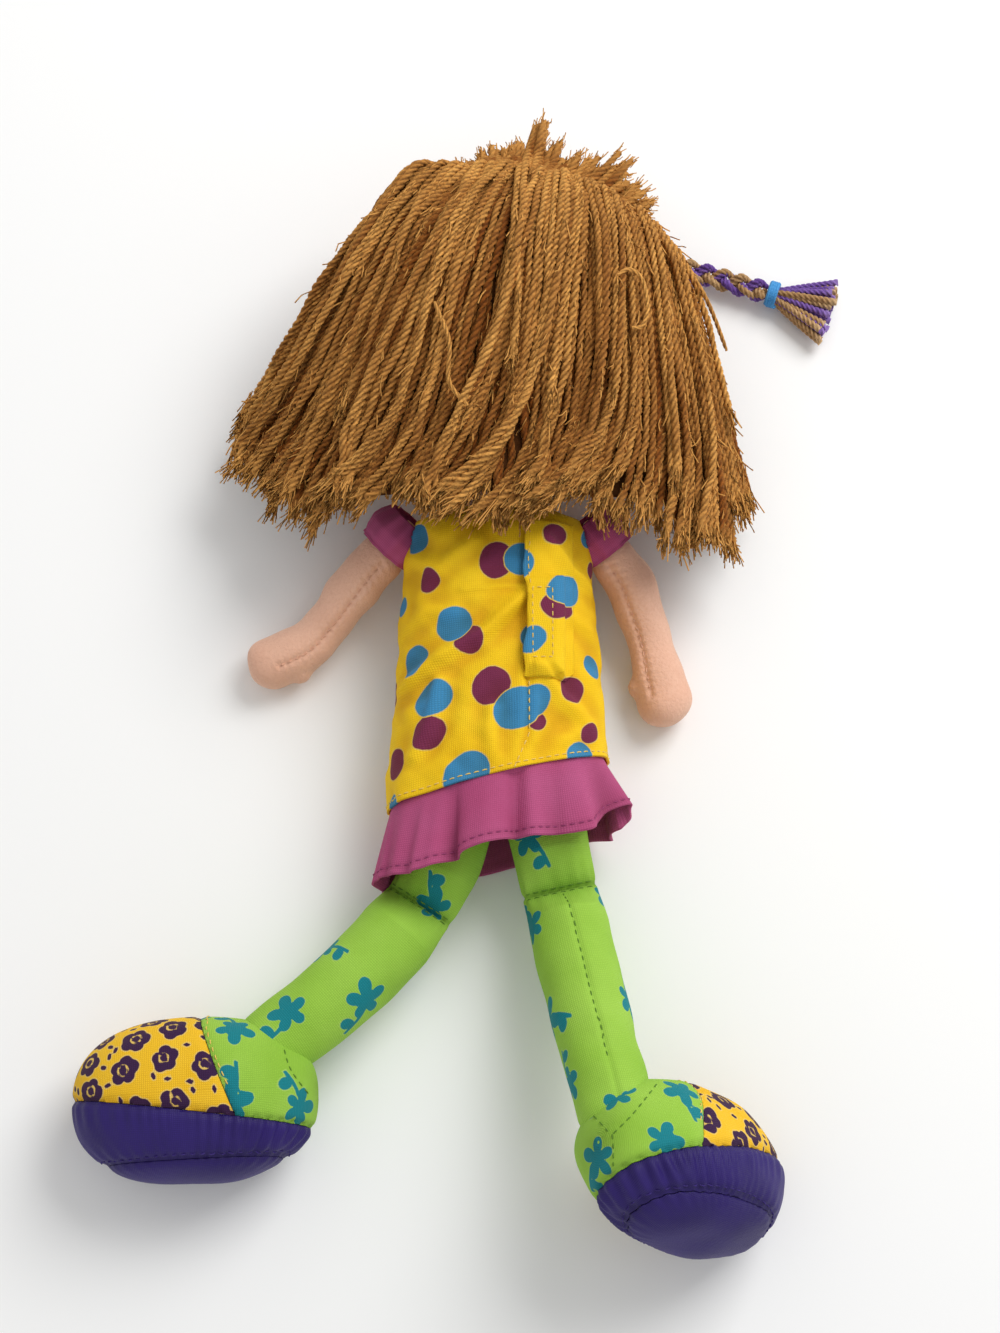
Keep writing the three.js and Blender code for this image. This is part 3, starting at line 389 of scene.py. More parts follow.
def yarn_finish(name, dark, body, light, tip):
    """Plied acrylic yarn: dull, with fine fibres along it, with painted shade in the grooves between its plies,
    lighter by its tone, and pale where it frays.
    """
    material, tree = finish_of(name, roughness=0.9, sheen=0.35, glow=light)
    place = put(tree, "ShaderNodeTexCoord").outputs["Object"]
    tone_and_light, fray, groove = (
        put(tree, "ShaderNodeAttribute", attribute_name=field).outputs["Fac"] for field in ("tone_and_light", "fray", "groove")
    )
    shares = []
    for scale, detail, most in ((70, 3, 0.4), (1100, 2, 0.35)):
        grain = put(tree, "ShaderNodeTexNoise", {"Vector": place, "Scale": scale, "Detail": detail}).outputs["Fac"]
        shares.append(put(tree, "ShaderNodeMapRange", {0: grain, 1: 0.35, 2: 0.65, 3: 0.0, 4: most}).outputs[0])
    patchy, hairy = shares
    # Painted shade: the grooves between the plies are mixed towards the dark colour. The tone mixes towards the light
    # colour; on the hair locks that tone is painted light and shade.
    deep = put(tree, "ShaderNodeMath", {0: groove, 1: 0.75}, operation="MULTIPLY").outputs[0]
    colour = layered(tree, body, (tone_and_light, light), (patchy, body), (hairy, dark), (deep, dark), (fray, tip))
    coated(tree, colour, grain, 0.4)
    return material


def floss(name, dye, light):
    """Stranded cotton: a soft shine along close parallel threads."""
    return fibrous(name, 0.55, 0.3, glow=light, dark=dye, pale=light, clumps=(1500, 2))


# Head: a ball of the same velour in two panels, stuffed, and pressed flat where the face lies on the table.
# The face is embroidered: two round eyes with lashes, a small nose, a wide smile, and blushed cheeks.
def hump(away, width):
    """One in the middle, falling smoothly to nothing past that width."""
    return np.exp(-((away / width) ** 2))


def tube(rings, capped=True):
    """Points, faces and unwrapped corners of a skin over rings of equal count."""
    rows, around = rings.shape[:2]
    r, s = np.meshgrid(np.arange(rows - 1), np.arange(around), indexing="ij")
    beside, width = (s + 1) % around, around + 1
    faces = np.stack([r * around + s, r * around + beside, (r + 1) * around + beside, (r + 1) * around + s], -1)
    corners = np.stack([r * width + s, r * width + s + 1, (r + 1) * width + s + 1, (r + 1) * width + s], -1)
    points = rings.reshape(-1, 3)
    faces, corners = faces.reshape(-1, 4).tolist(), corners.reshape(-1, 4).tolist()
    for row, flip in ((0, True), (rows - 1, False)) if capped else ():
        tip = len(points)
        points = np.vstack([points, rings[row].mean(0)])
        for k in range(around):
            a, b = row * around + k, row * around + (k + 1) % around
            faces.append([tip, b, a] if flip else [tip, a, b])
            corners.append([row * width + k] * 3)
    return points, faces, corners


def model(name, points, faces, material, corners=None, cloth=None, fields=None):
    """A mesh from points in millimetres, with its place on the cloth as UV and its fields as attributes."""
    mesh = bpy.data.meshes.new(name)
    mesh.from_pydata((points * MM).tolist(), [], faces)
    if cloth is not None:
        layer = mesh.uv_layers.new(name="cloth")
        flat = cloth.reshape(-1, 2)[np.concatenate([np.array(c) for c in corners])]
        layer.data.foreach_set("uv", flat.astype(np.float32).ravel())
    marked_with(mesh, fields or {})
    bm = bmesh.new()
    bm.from_mesh(mesh)
    bmesh.ops.recalc_face_normals(bm, faces=bm.faces)
    bm.to_mesh(mesh)
    bm.free()
    mesh.shade_smooth()
    mesh.materials.append(material)
    return linked(name, mesh)


head_middle = np.array([3.0, 120.0, 32.7])
head_half = np.array([44.0, 50.0, 33.2])
face_level = 0.7
rise, turn = np.radians(np.meshgrid(np.linspace(-88, 88, 96), np.arange(0, 360, 2.5), indexing="ij"))
ball = np.stack([np.cos(rise) * np.cos(turn), np.sin(rise), np.cos(rise) * np.sin(turn)], -1)
shape = head_middle + ball * head_half
seam_pull = 0.8 * hump(np.abs(ball[..., 2]) * head_half[2], 1.2)
shape += ball * (waves(shape.reshape(-1, 3), 22, 5).reshape(rise.shape) * 0.35 - seam_pull)[..., None]
shape[..., 2] = np.maximum(shape[..., 2], face_level)
points, faces, _ = tube(shape)
across, up = points[:, 0] - head_middle[0], points[:, 1] - head_middle[1]
from_cheek = np.hypot(np.abs(across) - 23, up + 9)
blush = np.where(points[:, 2] < 12, np.clip(1 - from_cheek / 9, 0, 1), 0)
head_cloth = velour.copy()
head_cloth.name = "peach_velour_face"
tree = head_cloth.node_tree
rosy = put(tree, "ShaderNodeAttribute", attribute_name="blush").outputs["Fac"]
softly = put(tree, "ShaderNodeMath", {0: rosy, 1: 0.6}, operation="MULTIPLY").outputs[0]
plain_velour = tree.nodes["Principled BSDF"].inputs["Base Color"].links[0].from_socket
coated(tree, layered(tree, plain_velour, (softly, "#E58A86")))
head = model("head_velour", points, faces, head_cloth, fields={"blush": blush})
belongs(head, "head", "skin_velour", "head_skin")


def straight(a, b):
    """A straight thread from one place to another."""
    return np.array([a, (np.array(a) + b) / 2, b])


floss_level = 0.32
eye_radius, nose_radius, floss_gap = 4.2, 2.1, 0.5
middle_x, middle_y = head_middle[:2]
dark_stitches, red_stitches = [], []
for side in (-1, 1):
    eye_x, eye_y = middle_x + side * 14, middle_y + 3
    for offset in np.arange(-eye_radius + 0.3, eye_radius, floss_gap):
        half = math.sqrt(eye_radius**2 - offset**2)
        ends = ((eye_x + offset, eye_y + way * half, floss_level) for way in (-1, 1))
        dark_stitches.append(straight(*ends))
    for lash in (-0.75, 0, 0.75):
        out = np.array([math.sin(lash), math.cos(lash), 0])
        root = np.array([eye_x, eye_y, floss_level]) + out * (eye_radius + 0.6)
        dark_stitches.append(straight(root, root + out * 4))
smile = [
    np.array([middle_x + 13 * math.sin(a), middle_y - 6 - 10 * math.cos(a), floss_level])
    for a in np.radians(np.arange(-70, 71, 10))
]
for a, b in zip(smile, smile[1:]):
    red_stitches.append(straight(a + 0.04 * (b - a), b - 0.04 * (b - a)))
for offset in np.arange(-1.8, 1.9, floss_gap):
    half = math.sqrt(nose_radius**2 - offset**2)
    ends = ((middle_x + way * half, middle_y - 4 + offset, floss_level) for way in (-1, 1))
    red_stitches.append(straight(*ends))
sewn("embroidered_eyes", dark_stitches, 0.3, floss("brown_floss", "#3B2418", "#6B4A36"), "head")
sewn("embroidered_smile", red_stitches, 0.3, floss("rose_floss", "#B8434E", "#D9707A"), "head")


# Hair: lengths of thick plied ginger yarn, sewn down side by side along the crown, over a sheet that is painted
# dark brown as the shade between and under the yarns. They fall over the back of the head in locks that sweep to
# the left, apart from one bunch on the right. The locks lie over one another, their ends are cut unevenly and fray.
hair_sweep = math.radians(80)
crown_y, hair_hem_y, hair_height, hair_half_width = 167.0, 36.0, 72.0, 91.0


def hair_place(u, t):
    """A point of the sheet of hair: u runs from -1 to 1 across it, t from the crown to the hem."""
    angle = u * hair_sweep
    bow = (np.cos(angle) - math.cos(hair_sweep)) / (1 - math.cos(hair_sweep))
    fall = crown_y - hair_hem_y
    knots = []
    for spread, crest, side, down, left, right in (
        (0.52, 0.75, 0.46, 1.0, -0.14, -0.12),
        (0.69, 1.01, 0.48, 0.7, 0.0, 0.0),
        (0.88, 0.9, 0.25, 0.26, 0.2, 0.1),
        (1.0, 0.8, 0.15, 0.0, 0.32, 0.12),
    ):
        x = 6 * down - 3 + hair_half_width * spread * np.sin(angle) / math.sin(hair_sweep)
        y = hair_hem_y + down * fall + np.where(u < 0, left, right) * fall * u**4
        z = hair_height * (side + (crest - side) * bow)
        knots.append(np.stack([x, y, z], -1))
    knots = [2 * knots[0] - knots[1], *knots, 2 * knots[3] - knots[2]]
    k = np.clip(np.floor(t * 3), 0, 2).astype(int)
    f = (t * 3 - k)[..., None]
    a, b, c, d = (np.choose(k[..., None], [knots[i + j] for i in range(3)]) for j in range(4))
    return 0.5 * (2 * b + (c - a) * f + (2 * a - 5 * b + 4 * c - d) * f**2 + (3 * b - a - 3 * c + d) * f**3)


def hair_out(u, t):
    """The way that points out of the sheet of hair there."""
    step = 0.01
    across = hair_place(u + step, t) - hair_place(u - step, t)
    down = hair_place(u, t + step) - hair_place(u, t - step)
    return unit(np.cross(down, across))


def crown_of(u):
    """Where the seam lies in the sheet: it runs straight across on the left and slopes down on the right."""
    return 0.15 * np.clip((u - 0.02) / 0.9, 0, 1) ** 1.3 + 0.02 * np.clip(-u - 0.7, 0, 1)


def sheet_faces(rows, columns):
    """The faces of a flat grid of points."""
    r, c = np.meshgrid(np.arange(rows - 1), np.arange(columns - 1), indexing="ij")
    first = r * columns + c
    return np.stack([first, first + columns, first + columns + 1, first + 1], -1).reshape(-1, 4).tolist()


ginger = yarn_finish("ginger_acrylic_yarn", "#3B1901", "#904F14", "#F5B45E", "#D49A50")
yarn_radius = 1.32
end_fibres, side_fibres = 20, 7
draw = np.random.default_rng(11)
u_grid, t_grid = np.meshgrid(np.linspace(-0.97, 0.97, 80), np.linspace(0.0, 0.9, 50), indexing="ij")
t_grid = np.maximum(t_grid, crown_of(u_grid) + 0.01)
base_sheet_top = hair_place(u_grid, t_grid) - hair_out(u_grid, t_grid) * 1.8
# Painted shade: a sheet just under the hair, coloured dark brown for the shade between and under the yarns.
brown_tones = {"glow": "#8A5A26", "dark": "#2E1503", "pale": "#5E3510", "clumps": (420, 4)}
shaded_under_yarn = fibrous("shaded_brown_yarn_base", roughness=1.0, sheen=0.1, **brown_tones, depth=1.0)
tape = model("hair_base", base_sheet_top.reshape(-1, 3), sheet_faces(*u_grid.shape), shaded_under_yarn)
wall = tape.modifiers.new("wall", "SOLIDIFY")
wall.thickness, wall.offset = 1.2 * MM, 0
settled(tape)

strands, swells, frays, tones_and_light, wisps = [], [], [], [], []
parting = 0.6


def end_of(start):
    """Where a yarn from that place of the crown reaches the hem."""
    if start < parting:
        return float(np.interp(start, (-0.42, -0.3, -0.1, 0.1, 0.3, 0.58), (-0.98, -0.8, -0.52, -0.26, -0.02, 0.27)))
    return float(np.interp(start, (parting, 0.98), (0.33, 1.0)))


def hem_of(u):
    """How long the hair is there: it is cut shorter left of the middle and longest on the right."""
    places = (-1, -0.9, -0.7, -0.6, -0.5, -0.42, -0.3, -0.1, 0.0, 0.08, 0.15, 0.22, 0.3, 0.4, 0.55, 0.7, 0.86, 1)
    lengths = (0.88, 0.9, 0.95, 0.985, 1, 0.95, 0.91, 0.965, 0.985, 1, 0.96, 0.91, 0.98, 1.03, 1.07, 1.06, 0.96, 0.93)
    return float(np.interp(u, places, lengths))


def add_wisp(root, tip, stray):
    """One fibre that stands off a yarn, bent a little in its middle."""
    wisp = np.array([root, (root + tip) / 2 + draw.normal(0, stray, 3), tip])
    wisp[:, 2] = np.maximum(wisp[:, 2], 0.4)
    wisps.append(wisp)


def add_strand(u, t, height, tone_and_light, swell):
    """One yarn that lies at a height above the dark base sheet, with the fibres that stand off its end and sides."""
    u = np.clip(u, -1.0, 1.0)
    path = hair_place(u, t) + hair_out(u, t) * height[:, None]
    path[:, 2] = np.maximum(path[:, 2], yarn_radius + 0.2)
    end = np.clip((t - t[-1] + 0.07) / 0.07, 0, 1)
    strands.append(path)
    swells.append((1 + 0.25 * np.sin(np.pi * end) - 0.4 * end**2 + 0.07 * np.sin(t * 70 + 9 * tone_and_light[0])) * swell)
    frays.append(0.65 * end**1.3)
    tones_and_light.append(np.clip(tone_and_light, 0, 1))
    heading = unit(path[-1] - path[-4])
    for _ in range(end_fibres):
        root = path[-1] - heading * draw.uniform(1.5, 8) + draw.normal(0, 0.6, 3)
        add_wisp(root, path[-1] + heading * draw.uniform(0.5, 6) + draw.normal(0, 1.3, 3), 0.4)
    for _ in range(side_fibres):
        at = draw.integers(6, 88)
        root = path[at] + hair_out(u[at], t[at]) * yarn_radius * 0.8
        add_wisp(root, root + (unit(path[at + 4] - path[at]) + draw.normal(0, 0.28, 3)) * draw.uniform(3, 8), 0.5)


def add_lock(start, count, lift, sway, shorter, twist, tone_and_light, bulk, flow=1.0, offset=0.0):
    """A lock of yarns that starts at one place of the crown and lies at one height above the dark base sheet."""
    rhythm, phase = draw.uniform(3.5, 8.5), draw.uniform(0, 6.28)
    places, leads = (-0.42, -0.2, 0.1, 0.35, 0.58, 0.62, 0.98), (0.8, 0.3, -0.15, -0.5, -0.75, -0.3, 0.1)
    lead = float(np.interp(start, places, leads))
    drift = flow * (end_of(start) - start) + offset
    lock_length = hem_of(start + drift) - shorter + draw.uniform(-0.045, 0.02)
    t0 = float(crown_of(np.array(start)))
    for k in range(count):
        place = 0.0 if count == 1 else 2 * k / (count - 1) - 1
        own = draw.uniform(-1, 1)
        t = np.linspace(t0, lock_length + draw.uniform(-0.035, 0.02), 96)
        free = np.clip((t - t0) / (1 - t0), 0, 1.1)
        turned_by = place * np.cos(np.pi * twist * free**1.2)
        per_turn = np.interp(t, (0, 0.33, 0.7, 1), (67, 88, 113, 129))
        width = (count - 1) * 1.35 * np.interp(free, (0, 0.3, 0.65, 1), (0.5, 0.9, 0.95, 1.2)) / per_turn
        u = start + drift * free * (1 + lead * (1 - free)) + sway * np.sin(rhythm * free + phase) * np.sqrt(free)
        u = u + width * turned_by
        kink = np.sin(free * draw.uniform(26, 44) + draw.uniform(0, 6)) * np.sin(free * draw.uniform(9, 15) + k)
        u = u + 0.011 * own * np.sin((6 + 3 * own) * free + k) + 0.02 * own * free**2 + 0.007 * kink * np.sqrt(free)
        mound = bulk * (np.cos(0.5 * np.pi * turned_by) - 0.4)
        mound = mound + 1.2 * twist * np.sin(np.pi * twist * free**1.2) * place
        height = (lift + mound) * (0.4 + 0.6 * np.clip(free / 0.25, 0, 1) ** 0.8)
        height = height + 0.8 * own * np.sin(9 * free + 2 * k) - 0.4 * kink
        height = height + 3.6 * hump(u + 0.5, 0.2) * hump(t - 0.06, 0.09)
        height = height - 4.6 * (1 - np.clip(free / 0.05, 0, 1)) ** 2
        # Painted light and shade: a lock's middle yarns are lighter and its sides darker, with lit streaks along it,
        # and some random tone.
        lit = tone_and_light - 0.22 * abs(place) + draw.uniform(-0.22, 0.25) + 0.2 * np.sin(rhythm * 1.6 * free + 3 * own)
        add_strand(u, t, height, lit, 1 + 0.13 * own)


# The lowest yarns lie side by side, and the locks lie over them in three layers and a bunch on the right.
# Their tones are painted light: darkest on the lowest yarns as shade, lighter on each higher layer as lit.
for start in np.linspace(-0.98, 0.98, 46):
    if not 0.36 < start < 0.44:
        add_lock(start, 2, 0.0, 0.01, draw.uniform(0, 0.07), twist=0, tone_and_light=0.1, bulk=0.2, flow=0.0)
for start in np.linspace(-0.41, 0.56, 15) + draw.uniform(-0.02, 0.02, 15):
    sway, shorter, twist = draw.uniform(0.014, 0.03), draw.uniform(-0.02, 0.06), draw.choice([0, 0.6])
    add_lock(start, 4, 2.3, sway, shorter, twist, tone_and_light=0.45, bulk=0.8)
for start in np.linspace(-0.39, 0.55, 10) + draw.uniform(-0.03, 0.03, 10):
    count, sway, shorter = draw.integers(3, 5), draw.uniform(0.02, 0.045), draw.uniform(-0.02, 0.1)
    add_lock(start, count, 4.7, sway, shorter, draw.choice([0, 0.8, 1.3]), tone_and_light=0.75, bulk=1.2, flow=1.05)
for start, lift in zip(np.linspace(parting + 0.01, 0.97, 9), (4.0, 2.2, 4.4, 2.4, 4.4, 2.2, 4.2, 2.4, 2.0)):
    sway, shorter, twist = draw.uniform(0.008, 0.022), draw.uniform(-0.01, 0.05), draw.choice([0, 0.7])
    add_lock(start, 4, lift, sway, shorter, twist, tone_and_light=0.25 + 0.1 * lift, bulk=0.9)
for start, count, sway, shorter, offset in (
    (-0.38, 2, 0.05, 0.22, 0.05),
    (-0.3, 3, 0.06, 0.02, -0.06),
    (-0.22, 1, 0.05, 0.3, 0.1),
    (-0.12, 2, 0.06, 0.05, 0.08),
    (0.0, 3, 0.05, 0.12, -0.1),
    (0.1, 2, 0.05, 0.03, 0.1),
    (0.18, 1, 0.06, 0.35, 0.0),
    (0.28, 3, 0.05, 0.0, -0.12),
    (0.4, 2, 0.04, 0.08, 0.04),
    (0.5, 3, 0.03, 0.03, -0.1),
    (0.68, 2, 0.03, 0.2, 0.0),
    (0.8, 2, 0.03, 0.05, -0.06),
    (0.9, 1, 0.03, 0.28, 0.05),
):
    add_lock(start, count, 7.0, sway, shorter, twist=0.9, tone_and_light=0.9, bulk=0.3, offset=offset)

# Three loose pieces of the same yarn, on top of the rest at the lightest tone, which is painted light: a pale
# curl by the parting, a short end that stands out on the right, and one that has come free on the left.
for count, *knots in (
    (60, (0.40, 0.40), (0.45, 0.385), (0.50, 0.40), (0.505, 0.45), (0.47, 0.485), (0.43, 0.49)),
    (30, (0.84, 0.36), (0.93, 0.41), (1.0, 0.47), (1.04, 0.5)),
    (40, (-0.2, 0.46), (-0.14, 0.53), (-0.13, 0.6), (-0.07, 0.655)),
):
    u, t, _ = spline([(u, t, 0.0) for u, t in knots], count).T
    end = np.linspace(-1, 1, count)
    strands.append(hair_place(u, t) + hair_out(u, t) * 8.6)
    swells.append(0.62 - 0.25 * end**6)
    frays.append(0.5 * end**4)
    tones_and_light.append(np.ones(count))

hair_pieces = [tape]
starts = np.array([s[0, 0] + 0.2 * s[min(40, len(s) - 1), 0] for s in strands])
edges = np.quantile(starts, [0, 0.34, 0.67, 1])
edges[-1] += 1
for side, low, high in zip(("left", "middle", "right"), edges, edges[1:]):
    chosen = [k for k in range(len(strands)) if low <= starts[k] < high]
    carried = {"tones_and_light": tones_and_light, "swells": swells, "frays": frays}
    carried = {field: [values[k] for k in chosen] for field, values in carried.items()}
    paths = [strands[k] for k in chosen]
    yarns = spun(f"hair_yarn_{side}", paths, yarn_radius, ginger, pitch=9, lobe=0.3, **carried)
    if side == "middle":
        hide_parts("hair_back")
    hair_pieces.append(yarns)
frayed = {"lobe": 0.0, "sides": 3, "frays": [np.ones(3)] * len(wisps)}
fluff = spun("hair_frayed_ends", wisps, 0.27, ginger, pitch=9, tones_and_light=0.6, **frayed)
for piece in (*hair_pieces, fluff):
    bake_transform(piece)


# Short ends: the same yarns go under the crown seam and come out in front, cut short. They stand out past
# the crown in spiky, fluffy locks.
def off_head(angle, level, distance):
    """A point at that height, turned from the top of the head, and that far out from its cloth."""
    girth = math.sqrt(max(0.0, 1 - ((level - head_middle[2]) / head_half[2]) ** 2))
    x, y = (head_half[:2] * girth + distance) * (math.sin(angle), math.cos(angle)) + head_middle[:2]
    return np.array([x, y, level])


lock_reaches = (0.2, 0.3, 0.42, 0.5, 1, 0.62, 0.55, 0.66, 0.96, 0.85, 0.8, 0.45)
first_lock, lock_fan = -20, 82
yarns_in_lock, fibres_on_end = 15, 12
ends, swells, frays, tones_and_light, wisps = [], [], [], [], []
for lock, reach in enumerate(lock_reaches):
    for _ in range(yarns_in_lock):
        stray = draw.uniform(-0.62, 0.62)
        angle = math.radians(first_lock + lock_fan * (lock + 0.5 + stray) / len(lock_reaches))
        lean = math.radians(first_lock + lock_fan * (lock + 0.5) / len(lock_reaches)) - angle
        far = 21 * reach * draw.uniform(0.5, 1.0) + 4
        tip_level = 31 + draw.uniform(-6, 8)
        knots = [
            off_head(angle, 54, 1.5),
            off_head(angle, 47, 4.0),
            off_head(angle + 0.1 * lean, 40, 5.0 + 0.3 * far * draw.uniform(0, 0.6)),
            off_head(angle + draw.uniform(0.1, 0.75) * lean, tip_level, far + 1),
        ]
        path = spline(knots, 34)
        end = np.clip((np.linspace(0, 1, 34) - 0.7) / 0.3, 0, 1)
        ends.append(path)
        swells.append(1.12 - 0.3 * end)
        frays.append(0.6 * end)
        tones_and_light.append(draw.uniform(0, 0.8))
        heading = unit(path[-1] - path[-4])
        for _ in range(fibres_on_end):
            root = path[-1] - heading * draw.uniform(0.5, 4) + draw.normal(0, 0.7, 3)
            add_wisp(root, root + (heading + draw.normal(0, 0.22, 3)) * draw.uniform(1.5, 4), 0.2)
short_ends = spun("hair_short_yarn", ends, 1.4, ginger, pitch=9, lobe=0.3, tones_and_light=tones_and_light, swells=swells, frays=frays)
belongs(short_ends, "head", "ginger_yarn", "hair_short_ends")
frayed["frays"] = [np.ones(3)] * len(wisps)
belongs(spun("hair_short_frayed", wisps, 0.22, ginger, tones_and_light=0.9, **frayed), "head", "ginger_yarn")


# Plait: a three strand plait of purple and tan yarn from the side of the crown, bound with a blue covered
# elastic, its ends fanned out beyond.
def frame_along(line):
    """Headings along a line, and the level and the raised way across it."""
    heading = unit(np.gradient(line, axis=0))
    aside = unit(np.cross(heading, [0, 0, 1]))
    return heading, aside, np.cross(aside, heading)


joints = {j["name"]: np.array(j["pos_m"]) / MM for j in frame["joints"]}
plait_root = joints["braid_swing"]
knots = [plait_root, (49, 152, 6 + 0.4 * (plait_root[2] - 6)), (68.2, 148.5, 6), (97, 139.6, 6)]
plait_line = spline(knots, 120)
heading, aside, over = frame_along(plait_line)
share = np.linspace(0, 1, 120)
full = np.minimum(1, 0.45 + share * 3)
purple = yarn_finish("purple_acrylic_yarn", "#3B2360", "#7450A0", "#9A78C4", "#A88CCB")
tan = yarn_finish("tan_acrylic_yarn", "#6B4A26", "#B98F60", "#D3AE7E", "#DDBE94")
yarns = {"purple": [], "tan": []}
crossings, crossing_wide, crossing_high = 7, 2.7, 1.5
tassel_yarns, tassel_length, elastic_turns = 26, 21, 4
for strand in range(3):
    phase = share * crossings * math.pi + strand * 2 * math.pi / 3
    for ply in (-1, 1):
        out = crossing_wide * np.sin(phase) + ply * 0.75 * np.cos(phase)
        lift = crossing_high * np.sin(2 * phase) + 0.35 * ply
        path = plait_line + aside * (out * full)[:, None] + over * (lift * full)[:, None]
        kind = "tan" if strand == 2 or (strand, ply) == (0, 1) else "purple"
        yarns[kind].append((path, 0.6 + 0.4 * full, 0 * full))
heading, aside, over = heading[-1], aside[-1], over[-1]
tie_start = plait_line[-1] + heading * 0.4
tie_end = tie_start + heading * 4.4
place = np.linspace(0, 1, 26)
for _ in range(tassel_yarns):
    fan = draw.uniform(-1, 1)
    lift = draw.uniform(-1, 1) * math.sqrt(1 - 0.7 * fan * fan)
    reach = tassel_length * draw.uniform(0.86, 1.02) * (1 - 0.08 * fan * fan)
    knots = [
        tie_end + heading * far + aside * fan * spread + over * lift * thick
        for far, spread, thick in ((-2, 1.9, 1.7), (reach * 0.45, 7.4, 3.0), (reach, 12.5, 3.2))
    ]
    kind = "tan" if draw.uniform() < 0.5 else "purple"
    yarns[kind].append((spline(knots, 26), 0.85 + 0.25 * place**2, np.clip((place - 0.85) / 0.15, 0, 1) * 0.6))
for kind, finish, solid in (("purple", purple, "braid"), ("tan", tan, "braid_tassel")):
    paths, swells, frays = zip(*yarns[kind])
    for path in paths:
        path[:, 2] = np.maximum(path[:, 2], 1.5)
    tones_and_light = [draw.uniform() for _ in paths]
    made = spun(f"braid_{kind}_yarn", paths, 1.25, finish, lobe=0.3, tones_and_light=tones_and_light, swells=swells, frays=frays)
    belongs(made, "braid", "braid_yarn", solid)

covering = {"glow": "#BFE0FF", "dark": "#1F6FB2", "pale": "#5CAFEA", "clumps": (1600, 1)}
elastic = fibrous("blue_covered_elastic", roughness=0.6, sheen=0.3, **covering)
turns = np.linspace(0, 2 * math.pi * elastic_turns, 130)[:, None]
coil = tie_start + heading * np.linspace(0.7, 3.8, 130)[:, None]
coil = coil + aside * 4.1 * np.cos(turns) + over * 3.9 * np.sin(turns)
coil[:, 2] = np.maximum(coil[:, 2], 0.9)
belongs(spun("braid_elastic", [coil], 0.85, elastic, lobe=0.08, pitch=3), "braid", "braid_tie", "braid_tie")


# Arms: two panels of peach velour sewn together, turned and stuffed, each with a mitten hand and a thumb.
# The open end is gathered into a small round tab that is sewn into the armhole.
def field_of(points, path):
    """How far each point is from a line, in millimetres."""
    nearest = np.full(len(points), 1e9)
    for a, b in zip(path, path[1:]):
        run = b - a
        share = np.clip(((points - a) @ run) / max(run @ run, 1e-9), 0, 1)
        nearest = np.minimum(nearest, np.linalg.norm(points - a - share[:, None] * run, axis=1))
    return nearest


def rings_along(line, wide, deep, around):
    """Round rings across a line. The first point of each lies to its right, a quarter on lies on top."""
    _, aside, over = frame_along(line)
    turn = 2 * np.pi * np.arange(around) / around
    across, up = wide[:, None] * np.cos(turn), deep[:, None] * np.sin(turn)
    return line[:, None] + aside[:, None] * across[..., None] + over[:, None] * up[..., None]


def each_of(mesh, what):
    """The places or the outward ways of a mesh's points."""
    values = np.zeros(len(mesh.vertices) * 3)
    mesh.vertices.foreach_get(what, values)
    return values.reshape(-1, 3)


def surface_of(made):
    """A finder of the nearest place on a piece, in millimetres."""
    points = each_of(made.data, "co") / MM
    return BVHTree.FromPolygons(points.tolist(), [tuple(p.vertices) for p in made.data.polygons])


def met_from_above(surface, x, y):
    """Where a surface is met from straight above, and its outward way there."""
    return surface.ray_cast(Vector((x, y, 200.0)), Vector((0, 0, -1)))[:2]


def stitched(surface, path, length, gap):
    """Stitches of that length along a path on a surface, each a thread that dips into the cloth at its ends.
    A path without heights is laid down on the surface from above."""
    path = np.asarray(path, float)
    made = []
    for start in np.arange(gap / 2, run_of(path)[-1] - length * 0.6, length + gap):
        spots = at_runs(path, np.linspace(start, min(start + length, run_of(path)[-1]), 6))
        if path.shape[1] == 2:
            found = [met_from_above(surface, *p) for p in spots]
        else:
            found = [surface.find_nearest(Vector(p))[:2] for p in spots]
        if all(spot is not None for spot, _ in found):
            placed, outs = np.array([spot for spot, _ in found]), np.array([out for _, out in found])
            thread = placed + outs * (0.05 + 0.45 * np.sin(np.linspace(0, np.pi, 6)) - 0.3)[:, None]
            thread[:, 2] = np.maximum(thread[:, 2], 0.3)
            made.append(thread)
    return made


def turned(side, degrees):
    """Level heading, turned outwards by degrees from the way of the feet."""
    return np.array([side * math.sin(math.radians(degrees)), -math.cos(math.radians(degrees)), 0.0])


